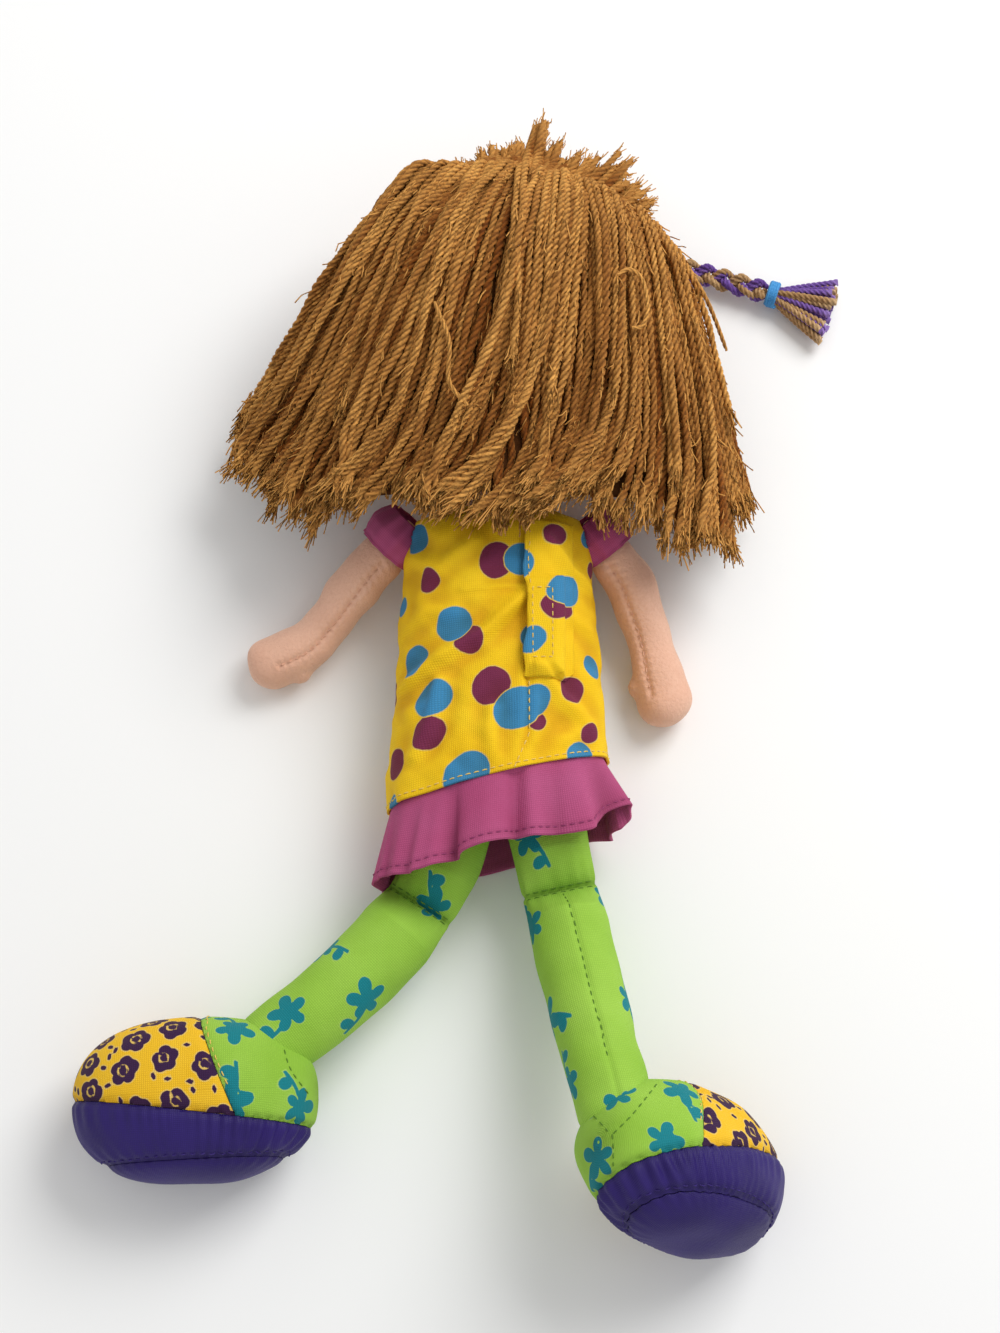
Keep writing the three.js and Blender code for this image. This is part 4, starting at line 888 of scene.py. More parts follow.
both_sides = (("left", -1), ("right", 1))
seam_thread = floss("peach_seam_thread", "#D49A7E", "#EBC0A6")
arm_turns = {"left": (45, 40, 64), "right": (38, 18, 12)}
arm_seam_turns = {"left": math.radians(118), "right": math.radians(58)}
arm_steps, hand_radius, thumb_radius = 60, 9.5, 4.6
root_gap, thumb_back, thumb_out = 5.4, 6.5, 6.6
arm_lines = {}
for name, side in both_sides:
    knots = [joints[f"{name}_arm_raise"]]
    for degrees, length, level in zip(arm_turns[name], (21, 28, 13), (17, 10.5, 9)):
        knots.append(knots[-1] + turned(side, degrees) * length)
        knots[-1][2] = level
    hand = knots[-1]
    knots[0] = knots[0] + unit(knots[1] - knots[0]) * root_gap
    line = arm_lines[name] = spline(knots, arm_steps)
    share = np.linspace(0, 1, arm_steps)
    wide = np.interp(share, (0, 0.1, 0.3, 0.5, 0.68, 0.84, 1), (7.2, 8.3, 8.7, 8.2, 7.7, 9.2, hand_radius))
    headings, aside, over = frame_along(line)
    heading = headings[-1]
    end_turn = np.radians(np.linspace(8, 86, 10))
    with_tip = np.vstack([line, line[-1] + heading * (hand_radius * np.sin(end_turn))[:, None]])
    girth = np.r_[wide, hand_radius * np.cos(end_turn)]
    points, faces, _ = tube(rings_along(with_tip, girth, girth, 40))
    arm = model(f"{name}_arm_velour", points, faces, velour)
    hand_turn = arm_turns[name][2]
    thumb_middle = hand - turned(side, hand_turn) * thumb_back + turned(side, hand_turn - 90) * thumb_out
    thumb_bm = bmesh.new()
    thumb_bm.from_mesh(arm.data)
    bmesh.ops.create_icosphere(thumb_bm, subdivisions=3, radius=thumb_radius * MM)
    for vertex in thumb_bm.verts[len(arm.data.vertices) :]:
        vertex.co = vertex.co + Vector(thumb_middle * MM)
    thumb_bm.to_mesh(arm.data)
    thumb_bm.free()
    whole = arm.modifiers.new("one_skin", "REMESH")
    whole.mode, whole.voxel_size, whole.use_smooth_shade = "VOXEL", 0.75 * MM, True
    soft = arm.modifiers.new("soft", "SMOOTH")
    soft.factor, soft.iterations = 0.6, 8
    settled(arm)
    if not arm.data.materials:
        arm.data.materials.append(velour)
    points = each_of(arm.data, "co") / MM
    seam_turn = arm_seam_turns[name]
    seam = line + (aside * math.cos(seam_turn) + over * math.sin(seam_turn)) * (wide * 0.99)[:, None]
    from_seam = field_of(points, seam[6:-2])
    pucker = 0.22 * np.sin(points @ (heading * 2.4)) * hump(from_seam, 3.2)
    high = waves(points, 16, 50 + side) * 0.4 - 0.75 * hump(from_seam, 1.1) + pucker
    points += each_of(arm.data, "normal") * high[:, None]
    points[:, 2] = np.maximum(points[:, 2], 0.05)
    arm.data.vertices.foreach_set("co", (points * MM).ravel())
    arm.data.update()
    arm.data.shade_smooth()
    belongs(arm, f"{name}_arm", "skin_velour", f"{name}_arm_skin")
    stitches = stitched(surface_of(arm), seam[8:-2], length=2.0, gap=0.9)
    sewn(f"{name}_arm_seam", stitches, 0.28, seam_thread, f"{name}_arm")
    tab = (f"{name}_arm_tab", f"{name}_shoulder", velour, "skin_velour")
    reform(f"{name}_arm_gather", *tab, cuts=2, lump=0.1, seed=44)


# Woven cotton: all the printed and plain cotton of the doll is the same fine plain weave. The threads are
# really 0.3 mm apart and are drawn 0.7 mm apart, because finer ones would not show.
def cotton(name, dye, shade, light, prints=(), halo=None, sheen=0.15, roughness=0.8, weave=0.7, relief=0.12):
    """Cotton in one dye, with inks on it where the piece's own fields say so, each with a thin pale rim, and with
    painted shade where its shade field says so and between its threads.
    """
    material, tree = finish_of(name, roughness, sheen, light)
    place = put(tree, "ShaderNodeTexCoord").outputs["Object"]
    cloudy = put(tree, "ShaderNodeTexNoise", {"Vector": place, "Scale": 45, "Detail": 4})
    slub = put(tree, "ShaderNodeTexNoise", {"Vector": place, "Scale": 700, "Detail": 2}).outputs["Fac"]
    cloud = put(tree, "ShaderNodeMapRange", {0: cloudy.outputs["Fac"], 1: 0.3, 2: 0.7, 3: 0.0, 4: 0.6})
    colour = layered(tree, dye, (cloud.outputs[0], light))
    wobble = put(tree, "ShaderNodeMath", {0: slub, 1: 0.35, 2: -0.17}, operation="MULTIPLY_ADD").outputs[0]
    for field, ink in prints:
        inside = put(tree, "ShaderNodeAttribute", attribute_name=field).outputs["Fac"]
        inside = put(tree, "ShaderNodeMath", {0: inside, 1: wobble}, operation="ADD").outputs[0]
        rim = put(tree, "ShaderNodeMapRange", {0: inside, 1: -0.46, 2: -0.28}).outputs[0]
        mask = put(tree, "ShaderNodeMapRange", {0: inside, 1: -0.12, 2: 0.12}).outputs[0]
        colour = layered(tree, colour, (rim, halo), (mask, ink))
    # Painted shade: where the piece's shade field says so, the colour is multiplied towards the shade colour.
    painted_shade = put(tree, "ShaderNodeAttribute", attribute_name="shade").outputs["Fac"]
    colour = layered(tree, colour, (painted_shade, layered(tree, colour, (0.5, shade, "MULTIPLY"))))
    flat = put(tree, "ShaderNodeUVMap", uv_map="cloth").outputs[0]
    ribs = {"Vector": flat, "Scale": math.pi / (10 * weave), "Distortion": 0.3}
    warp, weft = (put(tree, "ShaderNodeTexWave", ribs, bands_direction=way).outputs["Fac"] for way in "XY")
    threads = put(tree, "ShaderNodeMath", {0: warp, 1: weft}, operation="MULTIPLY").outputs[0]
    # Painted shade between the threads: the gaps of the weave are multiplied towards the shade colour.
    gaps = put(tree, "ShaderNodeMapRange", {0: threads, 1: 0.0, 2: 0.25, 3: 0.22, 4: 0.0}).outputs[0]
    high = put(tree, "ShaderNodeMath", {0: threads, 1: slub}, operation="ADD").outputs[0]
    coated(tree, layered(tree, colour, (gaps, shade, "MULTIPLY")), high, relief)
    return material


def cloth_map(rings, closed):
    """Where each point of a grid of cloth lies on the flat cloth, in millimetres."""
    run = np.concatenate([rings, rings[:, :1]], 1) if closed else rings
    across = run_of(run[len(rings) // 2])
    down = np.r_[0, np.cumsum(np.linalg.norm(np.diff(run, axis=0), axis=2).mean(1))]
    return np.stack(np.broadcast_arrays(across[None, :], down[:, None]), -1)


def thickened(made, thickness):
    """A sheet given its thickness on the inner side, with closed edges."""
    wall = made.modifiers.new("wall", "SOLIDIFY")
    wall.thickness, wall.offset, wall.use_rim = thickness * MM, -1, True
    return settled(made)


# Dress: a straight tube of yellow cotton printed with blue and plum spots, gathered at the neck and closed
# down the back. It lies in pressed creases, and its hem slants because it is pulled to one side.
dress_length, dress_hem_y, hem_slant = 94.4, -47.4, 8
dress_half_width, dress_half_depth, dress_middle_level, back_level = 33.2, 23.5, 23, 24
dress_shares = (0, 0.17, 0.42, 0.64, 0.8, 0.9, 0.96, 1)
dress_widths = (1.12, 1.1, 1.04, 1, 0.98, 0.99, 0.95, 0.7)
dress_depths = (1.02, 1.02, 1, 1, 0.98, 0.95, 0.88, 0.72)
dress_rows, dress_around, dress_thickness, dress_squareness = 112, 208, 0.9, 2.3


def squared(wave, squareness):
    """A sine or cosine that goes round a softened square: 2 is a circle, and more is squarer."""
    return np.sign(wave) * np.abs(wave) ** (2 / squareness)


def turns_of(around):
    """The turns of that many points round a closed tube of cloth."""
    return 2 * np.pi * (np.arange(around) + 0.5) / around


def dress_rings(shares, around, inset=0.0, drop=0.0, flare=1.0, wave=None):
    """Rings of the dress at each share of its height, with the soft folds that run down its back."""
    shares, turn = np.asarray(shares, float)[:, None], turns_of(around)[None, :]
    wide = dress_half_width * np.interp(shares, dress_shares, dress_widths) * flare - inset
    deep = dress_half_depth * np.interp(shares, dress_shares, dress_depths) - inset
    x, z = squared(np.cos(turn), dress_squareness) * wide, squared(np.sin(turn), dress_squareness) * deep
    y = dress_hem_y + shares * dress_length + (1 - shares) * hem_slant * (x / dress_half_width) - drop
    out = unit(np.stack([x, 0 * x, z], -1))
    high = 1.1 * (1 - shares) * np.maximum(0, np.sin(turn)) * np.sin(5 * turn + 4 * shares)
    high = high + (0 if wave is None else wave)
    rings = np.stack([x, y, dress_middle_level + z], -1) + out * high[..., None]
    rings[..., 2] = np.maximum(rings[..., 2], inset)
    return rings, out


def fold(points, path, depth, width):
    """Height of a pressed fold along a line seen from above, with a hollow beside it."""
    away = field_of(points[:, :2], np.asarray(path, float))
    return depth * (hump(away, width) - 0.55 * hump(away - 1.9 * width, 1.3 * width))


rings, out = dress_rings(np.linspace(0, 1, dress_rows), dress_around)
points, outs = rings.reshape(-1, 3), out.reshape(-1, 3)
back = points[:, 2] > back_level
lift = np.zeros(len(points))
for depth, width, *path in (
    (2.0, 2.4, (-33, -16), (-18, -7), (-4, 1), (6, 11), (10.5, 15)),
    (0.5, 0.9, (-12, 15.4), (0, 16.6), (10, 16.8)),
    (-1.0, 1.1, (10.2, -9), (9.9, -35), (5, -47)),
    (1.4, 2.8, (14, -12), (22, -22), (30, -30)),
    (1.3, 2.6, (-30, 30), (-20, 24), (-8, 33)),
    (1.5, 2.6, (-28, -40), (-22, -30), (-20, -16)),
    (1.4, 2.2, (0, -46), (-3, -34), (-2, -26)),
    (1.3, 2.2, (16, 34), (24, 24), (31, 20)),
    (1.0, 2.4, (14, 5), (23, 8), (32, 3)),
    (0.9, 2.2, (-33, 4), (-24, 9), (-15, 8)),
    (1.2, 2.2, (18, -47), (20, -38), (26, -33)),
):
    lift += fold(points, path, depth, width)
share = np.repeat(np.linspace(0, 1, dress_rows), dress_around)
lift = lift * np.clip(share / 0.13, 0.1, 1) * np.clip((points[:, 2] - 26) / 8, 0, 1)
lift += waves(points, 19, 61) * 0.55 + waves(points, 8, 62) * 0.2
near_hem = hump(share, 0.035)
points = points + outs * (lift - 0.5 * near_hem * (1 - near_hem))[:, None]
points[:, 2] = np.maximum(points[:, 2], 0.0)
rings = points.reshape(rings.shape)
dress_points = points
dress_flat = cloth_map(rings, True)
girth = dress_flat[0, -1, 0]
flat_points = dress_flat[:, :-1].reshape(-1, 2)

# The print: round spots, placed on the back about as the photo shows them and scattered over the front.
spots = {
    "blue": (
        *((-27, 36, 5.1), (7.7, 26.3, 5.8), (-32.3, 13.9, 3.2), (-14.6, 3.5, 5.8), (-27.4, -8, 5.3)),
        *((-22.5, -21.4, 6.1), (7.3, -26.1, 7.3), (12.9, -23.2, 5.6), (-10.1, -48.3, 7.5), (-34, -58.2, 3.4)),
        *((30, 36.9, 3.4), (23.6, 15.9, 5.9), (12, -0.4, 4.8), (31.6, -8.5, 4.6), (27.5, -39.6, 4.6)),
    ),
    "plum": (
        *((-1.3, 25.8, 6.5), (-23.2, 19.7, 4.1), (-9.3, -1.6, 4.8), (-23.7, -33.6, 5.2), (-34.8, -16.3, 4.2)),
        *((-33.9, -42.2, 4.8), (-1.9, -17.9, 6.6), (13.6, -30.2, 3.1), (19.3, 35.5, 4.2), (31.8, 26.4, 3.2)),
        *((20.1, 9.5, 5.1), (24.3, -18.4, 5.0), (30.6, -32.1, 3.8)),
    ),
}


def on_flat(x, y, chosen):
    """Where a place seen from above lies on the flat cloth of the dress."""
    return flat_points[np.argmin(np.where(chosen, np.hypot(dress_points[:, 0] - x, dress_points[:, 1] - y), 1e9))]


def apart(flat, u, v):
    """How far each place of the flat cloth is from one of them, the short way round the dress."""
    away = np.abs(flat[:, 0] - u) % girth
    return np.hypot(np.minimum(away, girth - away), flat[:, 1] - v)


def printed_spots(flat):
    """For each ink, how far inside the nearest spot each point of the cloth is, in millimetres."""
    fields = {}
    for ink, listed in spots_on_cloth.items():
        fields[ink] = np.full(len(flat), -40.0)
        for u, v, radius in listed:
            fields[ink] = np.maximum(fields[ink], radius - apart(flat, u, v))
    return fields


spots_on_cloth = {ink: [(*on_flat(x, y, back), radius) for x, y, radius in spots[ink]] for ink in spots}
front_spots, spot_gap, spot_tries = np.random.default_rng(21), 13, 400
for tried in range(1, spot_tries + 1):
    x, y, radius = front_spots.uniform(-34, 34), front_spots.uniform(-46, 44), front_spots.uniform(4, 7)
    u, v = on_flat(x, y, ~back)
    if np.min(apart(np.concatenate([np.array(s)[:, :2] for s in spots_on_cloth.values()]), u, v)) > spot_gap:
        spots_on_cloth["blue" if tried % 2 else "plum"].append((u, v, radius))

inks = (("plum", "#74284A"), ("blue", "#3A86B6"))
spotted = cotton("yellow_spotted_cotton", "#F0C108", "#C48A00", "#FCD924", inks, "#E2C45E", sheen=0.06)
armhole_radius = 11.8
armholes = [joints[f"{name}_arm_raise"] for name, _ in both_sides]
_, faces, corners = tube(rings, capped=False)
away = [np.min(np.linalg.norm(points[face].mean(0) - armholes, axis=1)) for face in faces]
kept = [k for k in range(len(faces)) if away[k] > armhole_radius]
faces, corners = [faces[k] for k in kept], [corners[k] for k in kept]
# Painted shade: the cloth is darker in the hollows of its folds.
dress_fields = printed_spots(flat_points) | {"shade": np.clip(-lift / 1.5, 0, 0.75)}
dress = model("dress_cotton_body", points, faces, spotted, corners, dress_flat, dress_fields)
thickened(dress, dress_thickness)
belongs(dress, "torso", "dress_cotton", "dress_body")
dress_skin = surface_of(dress)
yellow_thread = floss("yellow_thread", "#D8A514", "#FBE38A")
dress_stitches = stitched(dress_skin, np.vstack([rings[2], rings[2][:1]]), length=2.0, gap=0.8)


# Ruffle: a strip of magenta cotton, gathered and sewn inside the hem of the dress, with its own edge turned
# up and stitched. It lies in loose folds and flares out at the right corner.
ruffle_height, ruffle_inset, ruffle_around, pink_thickness = 24, 1.3, 300, 0.8
ruffle_folds = (
    *((0.55, -2.6, 0.09), (0.8, 2.0, 0.1), (1.05, -1.8, 0.07), (1.28, 1.6, 0.1), (1.46, -3.4, 0.05)),
    *((1.62, 2.6, 0.09), (1.78, 1.4, 0.08), (1.93, -3.6, 0.06), (2.08, 2.8, 0.08), (2.35, -1.2, 0.08)),
    *((2.55, 1.8, 0.1), (2.75, -1.8, 0.07)),
)
turn = turns_of(ruffle_around)
soft = 1.3 * np.sin(9 * turn) + 0.8 * np.sin(14 * turn + 1.3) + 0.4 * np.sin(23 * turn + 0.4)
for at, deep, wide in ruffle_folds:
    soft = soft + deep * hump(turn - at, wide)
corner, notch = hump(turn - 0.35, 0.3), hump(turn - 1.45, 0.07)
ruffle_rows = [dress_rings([share], ruffle_around, ruffle_inset)[0][0] for share in (0.045, 0.02, 0.0)]
parts = np.linspace(0.04, 1, 26)
for part in parts:
    drop, flare, wave = ruffle_height * part, 1 + 0.13 * part, part**0.8 * soft
    ring = dress_rings([0], ruffle_around, ruffle_inset, drop, flare, wave)[0][0]
    ring[:, 1] += corner * part * 7 + 1.2 * part * np.sin(5 * turn)
    ring[:, 0] += corner * part * 5.5
    ring[:, 2] -= corner * part * 5 + notch * (1 - part * 0.3) * 2.4
    ring[:, 2] = np.maximum(ring[:, 2], ruffle_inset * (1 - part) + 0.3)
    ruffle_rows.append(ring)
ruffle_rings = np.stack(ruffle_rows)
points, faces, corners = tube(ruffle_rings, capped=False)
flat = cloth_map(ruffle_rings, True)
hem_row = len(ruffle_rings) - 4
# Painted shade: darker in the valleys of the folds, and darker along the line of the hem.
beside_hem = 1 - np.clip(np.abs(np.arange(len(ruffle_rings)) - hem_row) / 2, 0, 1)
valleys = np.r_[np.zeros(3), parts**0.8][:, None] * np.clip(-soft / 4.5, 0, 0.7)
shade = np.clip(0.3 * beside_hem[:, None] + valleys, 0, 0.8).ravel()
magenta = cotton("magenta_cotton", "#B04A76", "#701D40", "#BF5F8C", sheen=0.2)
ruffle = model("dress_gathered_ruffle", points, faces, magenta, corners, flat, {"shade": shade})
thickened(ruffle, pink_thickness)
belongs(ruffle, "torso", "pink_cotton", "dress_ruffle")
hem = ruffle_rings[hem_row]
stitches = stitched(surface_of(ruffle), np.vstack([hem, hem[:1]]), length=2.2, gap=0.8)
sewn("ruffle_hem_stitches", stitches, 0.25, floss("pink_thread", "#7E2852", "#A84A7C"), "torso")


# Back opening: the right edge of the back laps over the left and closes with hook and loop tape, sewn on by
# a rectangle of stitches that shows on the outside.
def dress_top(x, y):
    """Height of the back of the dress there, in millimetres."""
    spot, _ = met_from_above(dress_skin, x, y)
    return spot[2] if spot is not None else 40.0


flap_seam_x, flap_edge_x, flap_bottom_y, flap_top_y = 25.5, 9.2, -15.5, 40.0
flap_rows, flap_columns = 74, 34
flap_x = np.linspace(flap_seam_x, flap_edge_x, flap_columns)
flap_y = np.linspace(flap_bottom_y, flap_top_y, flap_rows)
flap_grid = np.zeros((flap_rows, flap_columns, 3))
patch_level = max(v.co.z for v in nodes["hook_patch"].data.vertices) / MM
for row, y in enumerate(flap_y):
    wavy = 0.7 * math.sin(y * 0.19) + 0.3 * math.sin(y * 0.47 + 1)
    resting = min(1.0, (y - flap_bottom_y) / 4.0)
    for column, x in enumerate(flap_x):
        from_seam = flap_seam_x - x
        part = min(1.0, from_seam / 8)
        edge = max(0.0, (12.5 - x) / 3.3)
        sideways = x + wavy * from_seam / 16
        level = dress_top(sideways, y) + 0.95 + 2.35 * part * part * (3 - 2 * part) * resting
        level -= 0.7 * edge**2 * resting
        level += (0.4 * math.sin(y * 0.24 + 0.5) + 0.15 * math.sin(y * 0.6 + 0.2 * x)) * part * resting
        over_patch = min(x - 10.6, 19.2 - x, y + 11, 17 - y)
        if over_patch > -3:
            level = max(level, patch_level + 0.75 - 0.5 * max(0.0, -over_patch) ** 1.2)
        tucked = max(0.0, 3 - from_seam) * max(0.0, -y - 10) * 0.2
        flap_grid[row, column] = (sideways, y + tucked, level)

# The flap is cut from the same printed cloth, so it carries the print that lies under it, slipped a little.
points = flap_grid.reshape(-1, 3)
back_places = np.flatnonzero(back)
flat_on_flap = []
for x, y, _ in points:
    away = np.hypot(dress_points[back_places, 0] - x, dress_points[back_places, 1] - y)
    close = np.argsort(away)[:12]
    weight = hump(away[close], 0.8) + 1e-9
    flat_on_flap.append((flat_points[back_places[close]] * weight[:, None]).sum(0) / weight.sum())
flat_on_flap = np.array(flat_on_flap)
slipped = np.clip((flap_seam_x - points[:, :1]) / 16, 0, 1) * np.array([[-1.5, 2.5]])
flap_fields = printed_spots(flat_on_flap + slipped) | {"shade": np.zeros(len(points))}
flap_faces = sheet_faces(flap_rows, flap_columns)
flap = model("dress_cotton_flap", points, flap_faces, spotted, flap_faces, flat_on_flap, flap_fields)
thickened(flap, dress_thickness)
belongs(flap, "dress_flap", "dress_cotton", "dress_flap")
flap_skin = surface_of(flap)
patch_outline = ((18.2, -9), (18.2, 15), (11.6, 15), (11.6, -9), (18.2, -9))
edge_line = [(10.9 + 0.7 * math.sin(y * 0.19), y) for y in np.linspace(16, 33, 30)]
flap_stitches = []
for line in (patch_outline, edge_line):
    flap_stitches += stitched(flap_skin, line, length=1.9, gap=0.8)
sewn("dress_flap_stitches", flap_stitches, 0.22, yellow_thread, "dress_flap")
below_flap = [(10.4, y) for y in np.linspace(-13, -34, 12)] + [(9.6, -36), (5.4, -46)]
dress_stitches += stitched(dress_skin, below_flap, length=2.0, gap=0.9)
sewn("dress_hem_stitches", dress_stitches, 0.24, yellow_thread, "torso")

tape, tree = finish_of("hook_and_loop_nylon", roughness=0.7, sheen=0.4, glow="#FFFFFF")
place = put(tree, "ShaderNodeTexCoord").outputs["Object"]
loops = put(tree, "ShaderNodeTexVoronoi", {"Vector": place, "Scale": 1400}).outputs["Distance"]
coated(tree, layered(tree, "#C9B24A", (loops, "#F0DF9A")), loops, 0.5)
for patch, body, seed in (("loop_patch", "torso", 70), ("hook_patch", "dress_flap", 71)):
    reform(f"{patch}_tape", patch, body, tape, "fastener_tape", cuts=2, lump=0.03, seed=seed)


# Sleeves: short puffs of the magenta cotton, gathered into the armhole and hemmed round the arm. Only their
# caps show beside the hair.
sleeve_around, sleeve_start, sleeve_end = 120, -11, 3.0
for name, side in both_sides:
    line = arm_lines[name]
    heading = unit(line[6] - line[0])
    reach = np.linspace(sleeve_start, sleeve_end, 26)
    bent = np.clip((reach - 2) / 8, 0, 1)[:, None]
    axis = (line[0] + heading * reach[:, None]) * (1 - bent) + at_runs(line, np.clip(reach, 0, None)) * bent
    girths = np.interp(reach, (-11, -7, -4, 0, 2, 3), (8.8, 11.0, 11.9, 11.2, 10.3, 10.5))
    sleeve_rings = rings_along(axis, girths, girths, sleeve_around)
    fullness = np.interp(reach, (-7, -1, 3), (1.0, 0.6, 0.8))[:, None]
    ripple = 0.5 * np.sin(11 * 2 * np.pi * np.arange(sleeve_around) / sleeve_around) * fullness
    sleeve_rings = sleeve_rings + unit(sleeve_rings - axis[:, None]) * ripple[..., None]
    sleeve_rings[..., 2] = np.maximum(sleeve_rings[..., 2], 0.6)
    points, faces, corners = tube(sleeve_rings, capped=False)
    flat = cloth_map(sleeve_rings, True)
    sleeve = model(f"{name}_cap_sleeve", points, faces, magenta, corners, flat, {"shade": np.zeros(len(points))})
    thickened(sleeve, pink_thickness)
    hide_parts(f"{name}_sleeve")
    ends = (tuple(line[0] * MM), tuple((line[0] + heading * 8) * MM))
    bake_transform(sleeve)


# Legs: one tube of green printed cotton each, stuffed above and below a flat line of stitches across it, so
# that the leg folds there. Below, it is sewn into the shoe; a seam runs down the back.
def bezier(a, b, c, count):
    """A smooth bend from a to c that heads for b."""
    t = np.linspace(0, 1, count)[:, None]
    return a * (1 - t) ** 2 + 2 * b * t * (1 - t) + c * t**2


def blossoms(flat, listed, around):
    """How far inside the nearest five petalled flower each point of the cloth is, in millimetres."""
    best = np.full(len(flat), -40.0)
    for u, v, size, turned_by in listed:
        du = (flat[:, 0] - u + around / 2) % around - around / 2
        dv = flat[:, 1] - v
        far, way = np.hypot(du, dv), np.arctan2(dv, du) + turned_by
        petals = size * (0.3 + 0.7 * np.abs(np.cos(2.5 * way)) ** 0.7) * (1 + 0.14 * np.sin(way + 3 * turned_by)) - far
        stem_u = du * math.cos(turned_by) + dv * math.sin(turned_by)
        stem_v = -du * math.sin(turned_by) + dv * math.cos(turned_by)
        stalk = 0.1 * size - np.abs(stem_u - 0.12 * size * np.sin(stem_v / size * 2))
        stalk = np.minimum(stalk, np.minimum(-stem_v - 0.5 * size, stem_v + 1.9 * size))
        leaf = 0.3 * size - np.hypot((stem_u - 0.34 * size) * 0.75, stem_v + 1.35 * size)
        best = np.max([best, petals, stalk, leaf], axis=0)
    return best


green_ink = (("flower", "#0F7F8C"),)
green_print = cotton("green_flowered_cotton", "#92C03E", "#66902A", "#A9D356", green_ink, "#A6CB5E", sheen=0.08)
green_thread = floss("green_thread", "#3F6414", "#6F9A34")
leg_turns = {"left": (21, 45), "right": (12, 12.5)}
leg_seam_turns = {"left": math.radians(-70), "right": math.radians(96)}
hip_radius, ankle_radius, leg_around, flower_gap = 11, 12.4, 116, 25
cap_steps, upper_steps, lower_steps, row_gap = 8, 52, 110, 0.72
upper_bend, lower_bend, crease_radius, shin_radius = 18.5, 70 / 3, 12, 13.5
for name, side in both_sides:
    hip, crease, ankle = (joints[f"{name}_{joint}"] for joint in ("hip_splay", "leg_bend", "ankle_flex"))
    crease_way = turned(side, sum(leg_turns[name]) / 2)
    upper = bezier(hip, crease - crease_way * upper_bend, crease, upper_steps)
    lower = bezier(crease, crease + crease_way * lower_bend, ankle, lower_steps)[1:]
    share_up, share_low = np.linspace(0, 1, upper_steps), np.linspace(0, 1, lower_steps)[1:]
    reach_up, reach_low = run_of(upper)[-1], run_of(np.vstack([crease, lower]))[-1]
    wide_up = hip_radius + 2 * np.minimum(1, share_up * 5) - share_up**4
    deep_up = np.minimum(wide_up, 0.5 + ((1 - share_up) * reach_up) ** 0.72 * 1.9)
    wide_low = (crease_radius + 1.5 * np.minimum(1, share_low * 4)) * (1 - share_low**3) + ankle_radius * share_low**3
    deep_low = np.minimum(shin_radius - 1.1 * share_low**3, 0.5 + (share_low * reach_low) ** 0.72 * 1.9)
    start_turn = np.radians(np.linspace(84, 6, cap_steps))
    end_turn = np.radians(np.linspace(6, 84, cap_steps))
    first, last = unit(upper[1] - upper[0]), unit(lower[-1] - lower[-2])
    top = hip - first * (hip_radius * np.sin(start_turn))[:, None]
    line = np.vstack([top, upper, lower, ankle + last * (ankle_radius * np.sin(end_turn))[:, None]])
    top_round, end_round = hip_radius * np.cos(start_turn), ankle_radius * np.cos(end_turn)
    wide = np.r_[top_round, wide_up, wide_low, end_round]
    deep = np.r_[top_round, deep_up, deep_low, end_round]
    leg_rings = rings_along(line, wide, deep, leg_around)
    _, aside, over = frame_along(line)
    out = leg_rings - line[:, None]
    out /= np.maximum(np.linalg.norm(out, axis=2, keepdims=True), 1e-6)
    turn = (2 * np.pi * np.arange(leg_around) / leg_around)[None, :]
    crease_row = cap_steps + upper_steps - 1
    from_crease = np.abs(np.arange(len(line)) - crease_row)[:, None] * row_gap
    seam_turn = leg_seam_turns[name]
    off_seam = np.abs((turn - seam_turn + np.pi) % (2 * np.pi) - np.pi) * 13
    below = (np.arange(len(line)) > crease_row)[:, None]
    high = waves(leg_rings.reshape(-1, 3), 20, 80 + side).reshape(len(line), -1) * 0.42
    ruck = 0.5 * np.sin(turn * 13 + 0.8 * np.sin(3 * turn))
    high = high + ruck * np.exp(-from_crease / 5) * np.clip(from_crease / 2.5, 0, 1)
    high = (high - np.where(below, 0.6 * hump(off_seam, 0.9), 0)) * np.clip(from_crease / 1.5, 0, 1)
    leg_rings = leg_rings + out * high[..., None]
    leg_rings[..., 2] = np.maximum(leg_rings[..., 2], 0.05)
    points, faces, corners = tube(leg_rings)
    flat = cloth_map(leg_rings, True)
    around = flat[0, -1, 0]
    listed = []
    scatter = np.random.default_rng(91 + side)
    for _ in range(900):
        u, v = scatter.uniform(0, around), scatter.uniform(6, flat[-1, 0, 1] - 8)
        if all(np.hypot((u - a + around / 2) % around - around / 2, v - b) > flower_gap for a, b, *_ in listed):
            listed.append((u, v, scatter.uniform(6.4, 7.6), scatter.uniform(0, 2 * np.pi)))
    flat_here = flat[:, :-1].reshape(-1, 2)
    flat_here = np.vstack([flat_here, flat_here[:1], flat_here[-1:]])
    # Painted shade: the cloth is darker towards the stitched crease.
    shade = np.r_[np.repeat(np.exp(-from_crease / 2.2) * 0.7, leg_around), 0, 0]
    fields = {"flower": blossoms(flat_here, listed, around), "shade": shade}
    leg = model(f"{name}_leg_cotton", points, faces, green_print, corners, flat, fields)
    leg_skin = surface_of(leg)
    stitches = []
    for offset in (1.0, -1.0):
        middle, across = crease + crease_way * offset, np.cross(crease_way, [0, 0, 1])
        row = [(middle + across * w)[:2] for w in np.linspace(-11.4, 11.4, 24)]
        stitches += stitched(leg_skin, row, length=2.2, gap=0.8)
    seam = line + (aside * math.cos(seam_turn) + over * math.sin(seam_turn)) * deep[:, None]
    stitches += stitched(leg_skin, seam[crease_row + 4 : crease_row + 100], length=2.2, gap=1.0)
    sewing = spun(f"{name}_leg_stitches", stitches, 0.24, green_thread, sides=6, lobe=0.1, pitch=3)
    ends = (tuple((crease - crease_way * 3) * MM), tuple((crease + crease_way * 3) * MM))
    for made in (leg, sewing):
        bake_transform(made)
    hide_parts(f"{name}_thigh_skin", f"{name}_shin_skin")


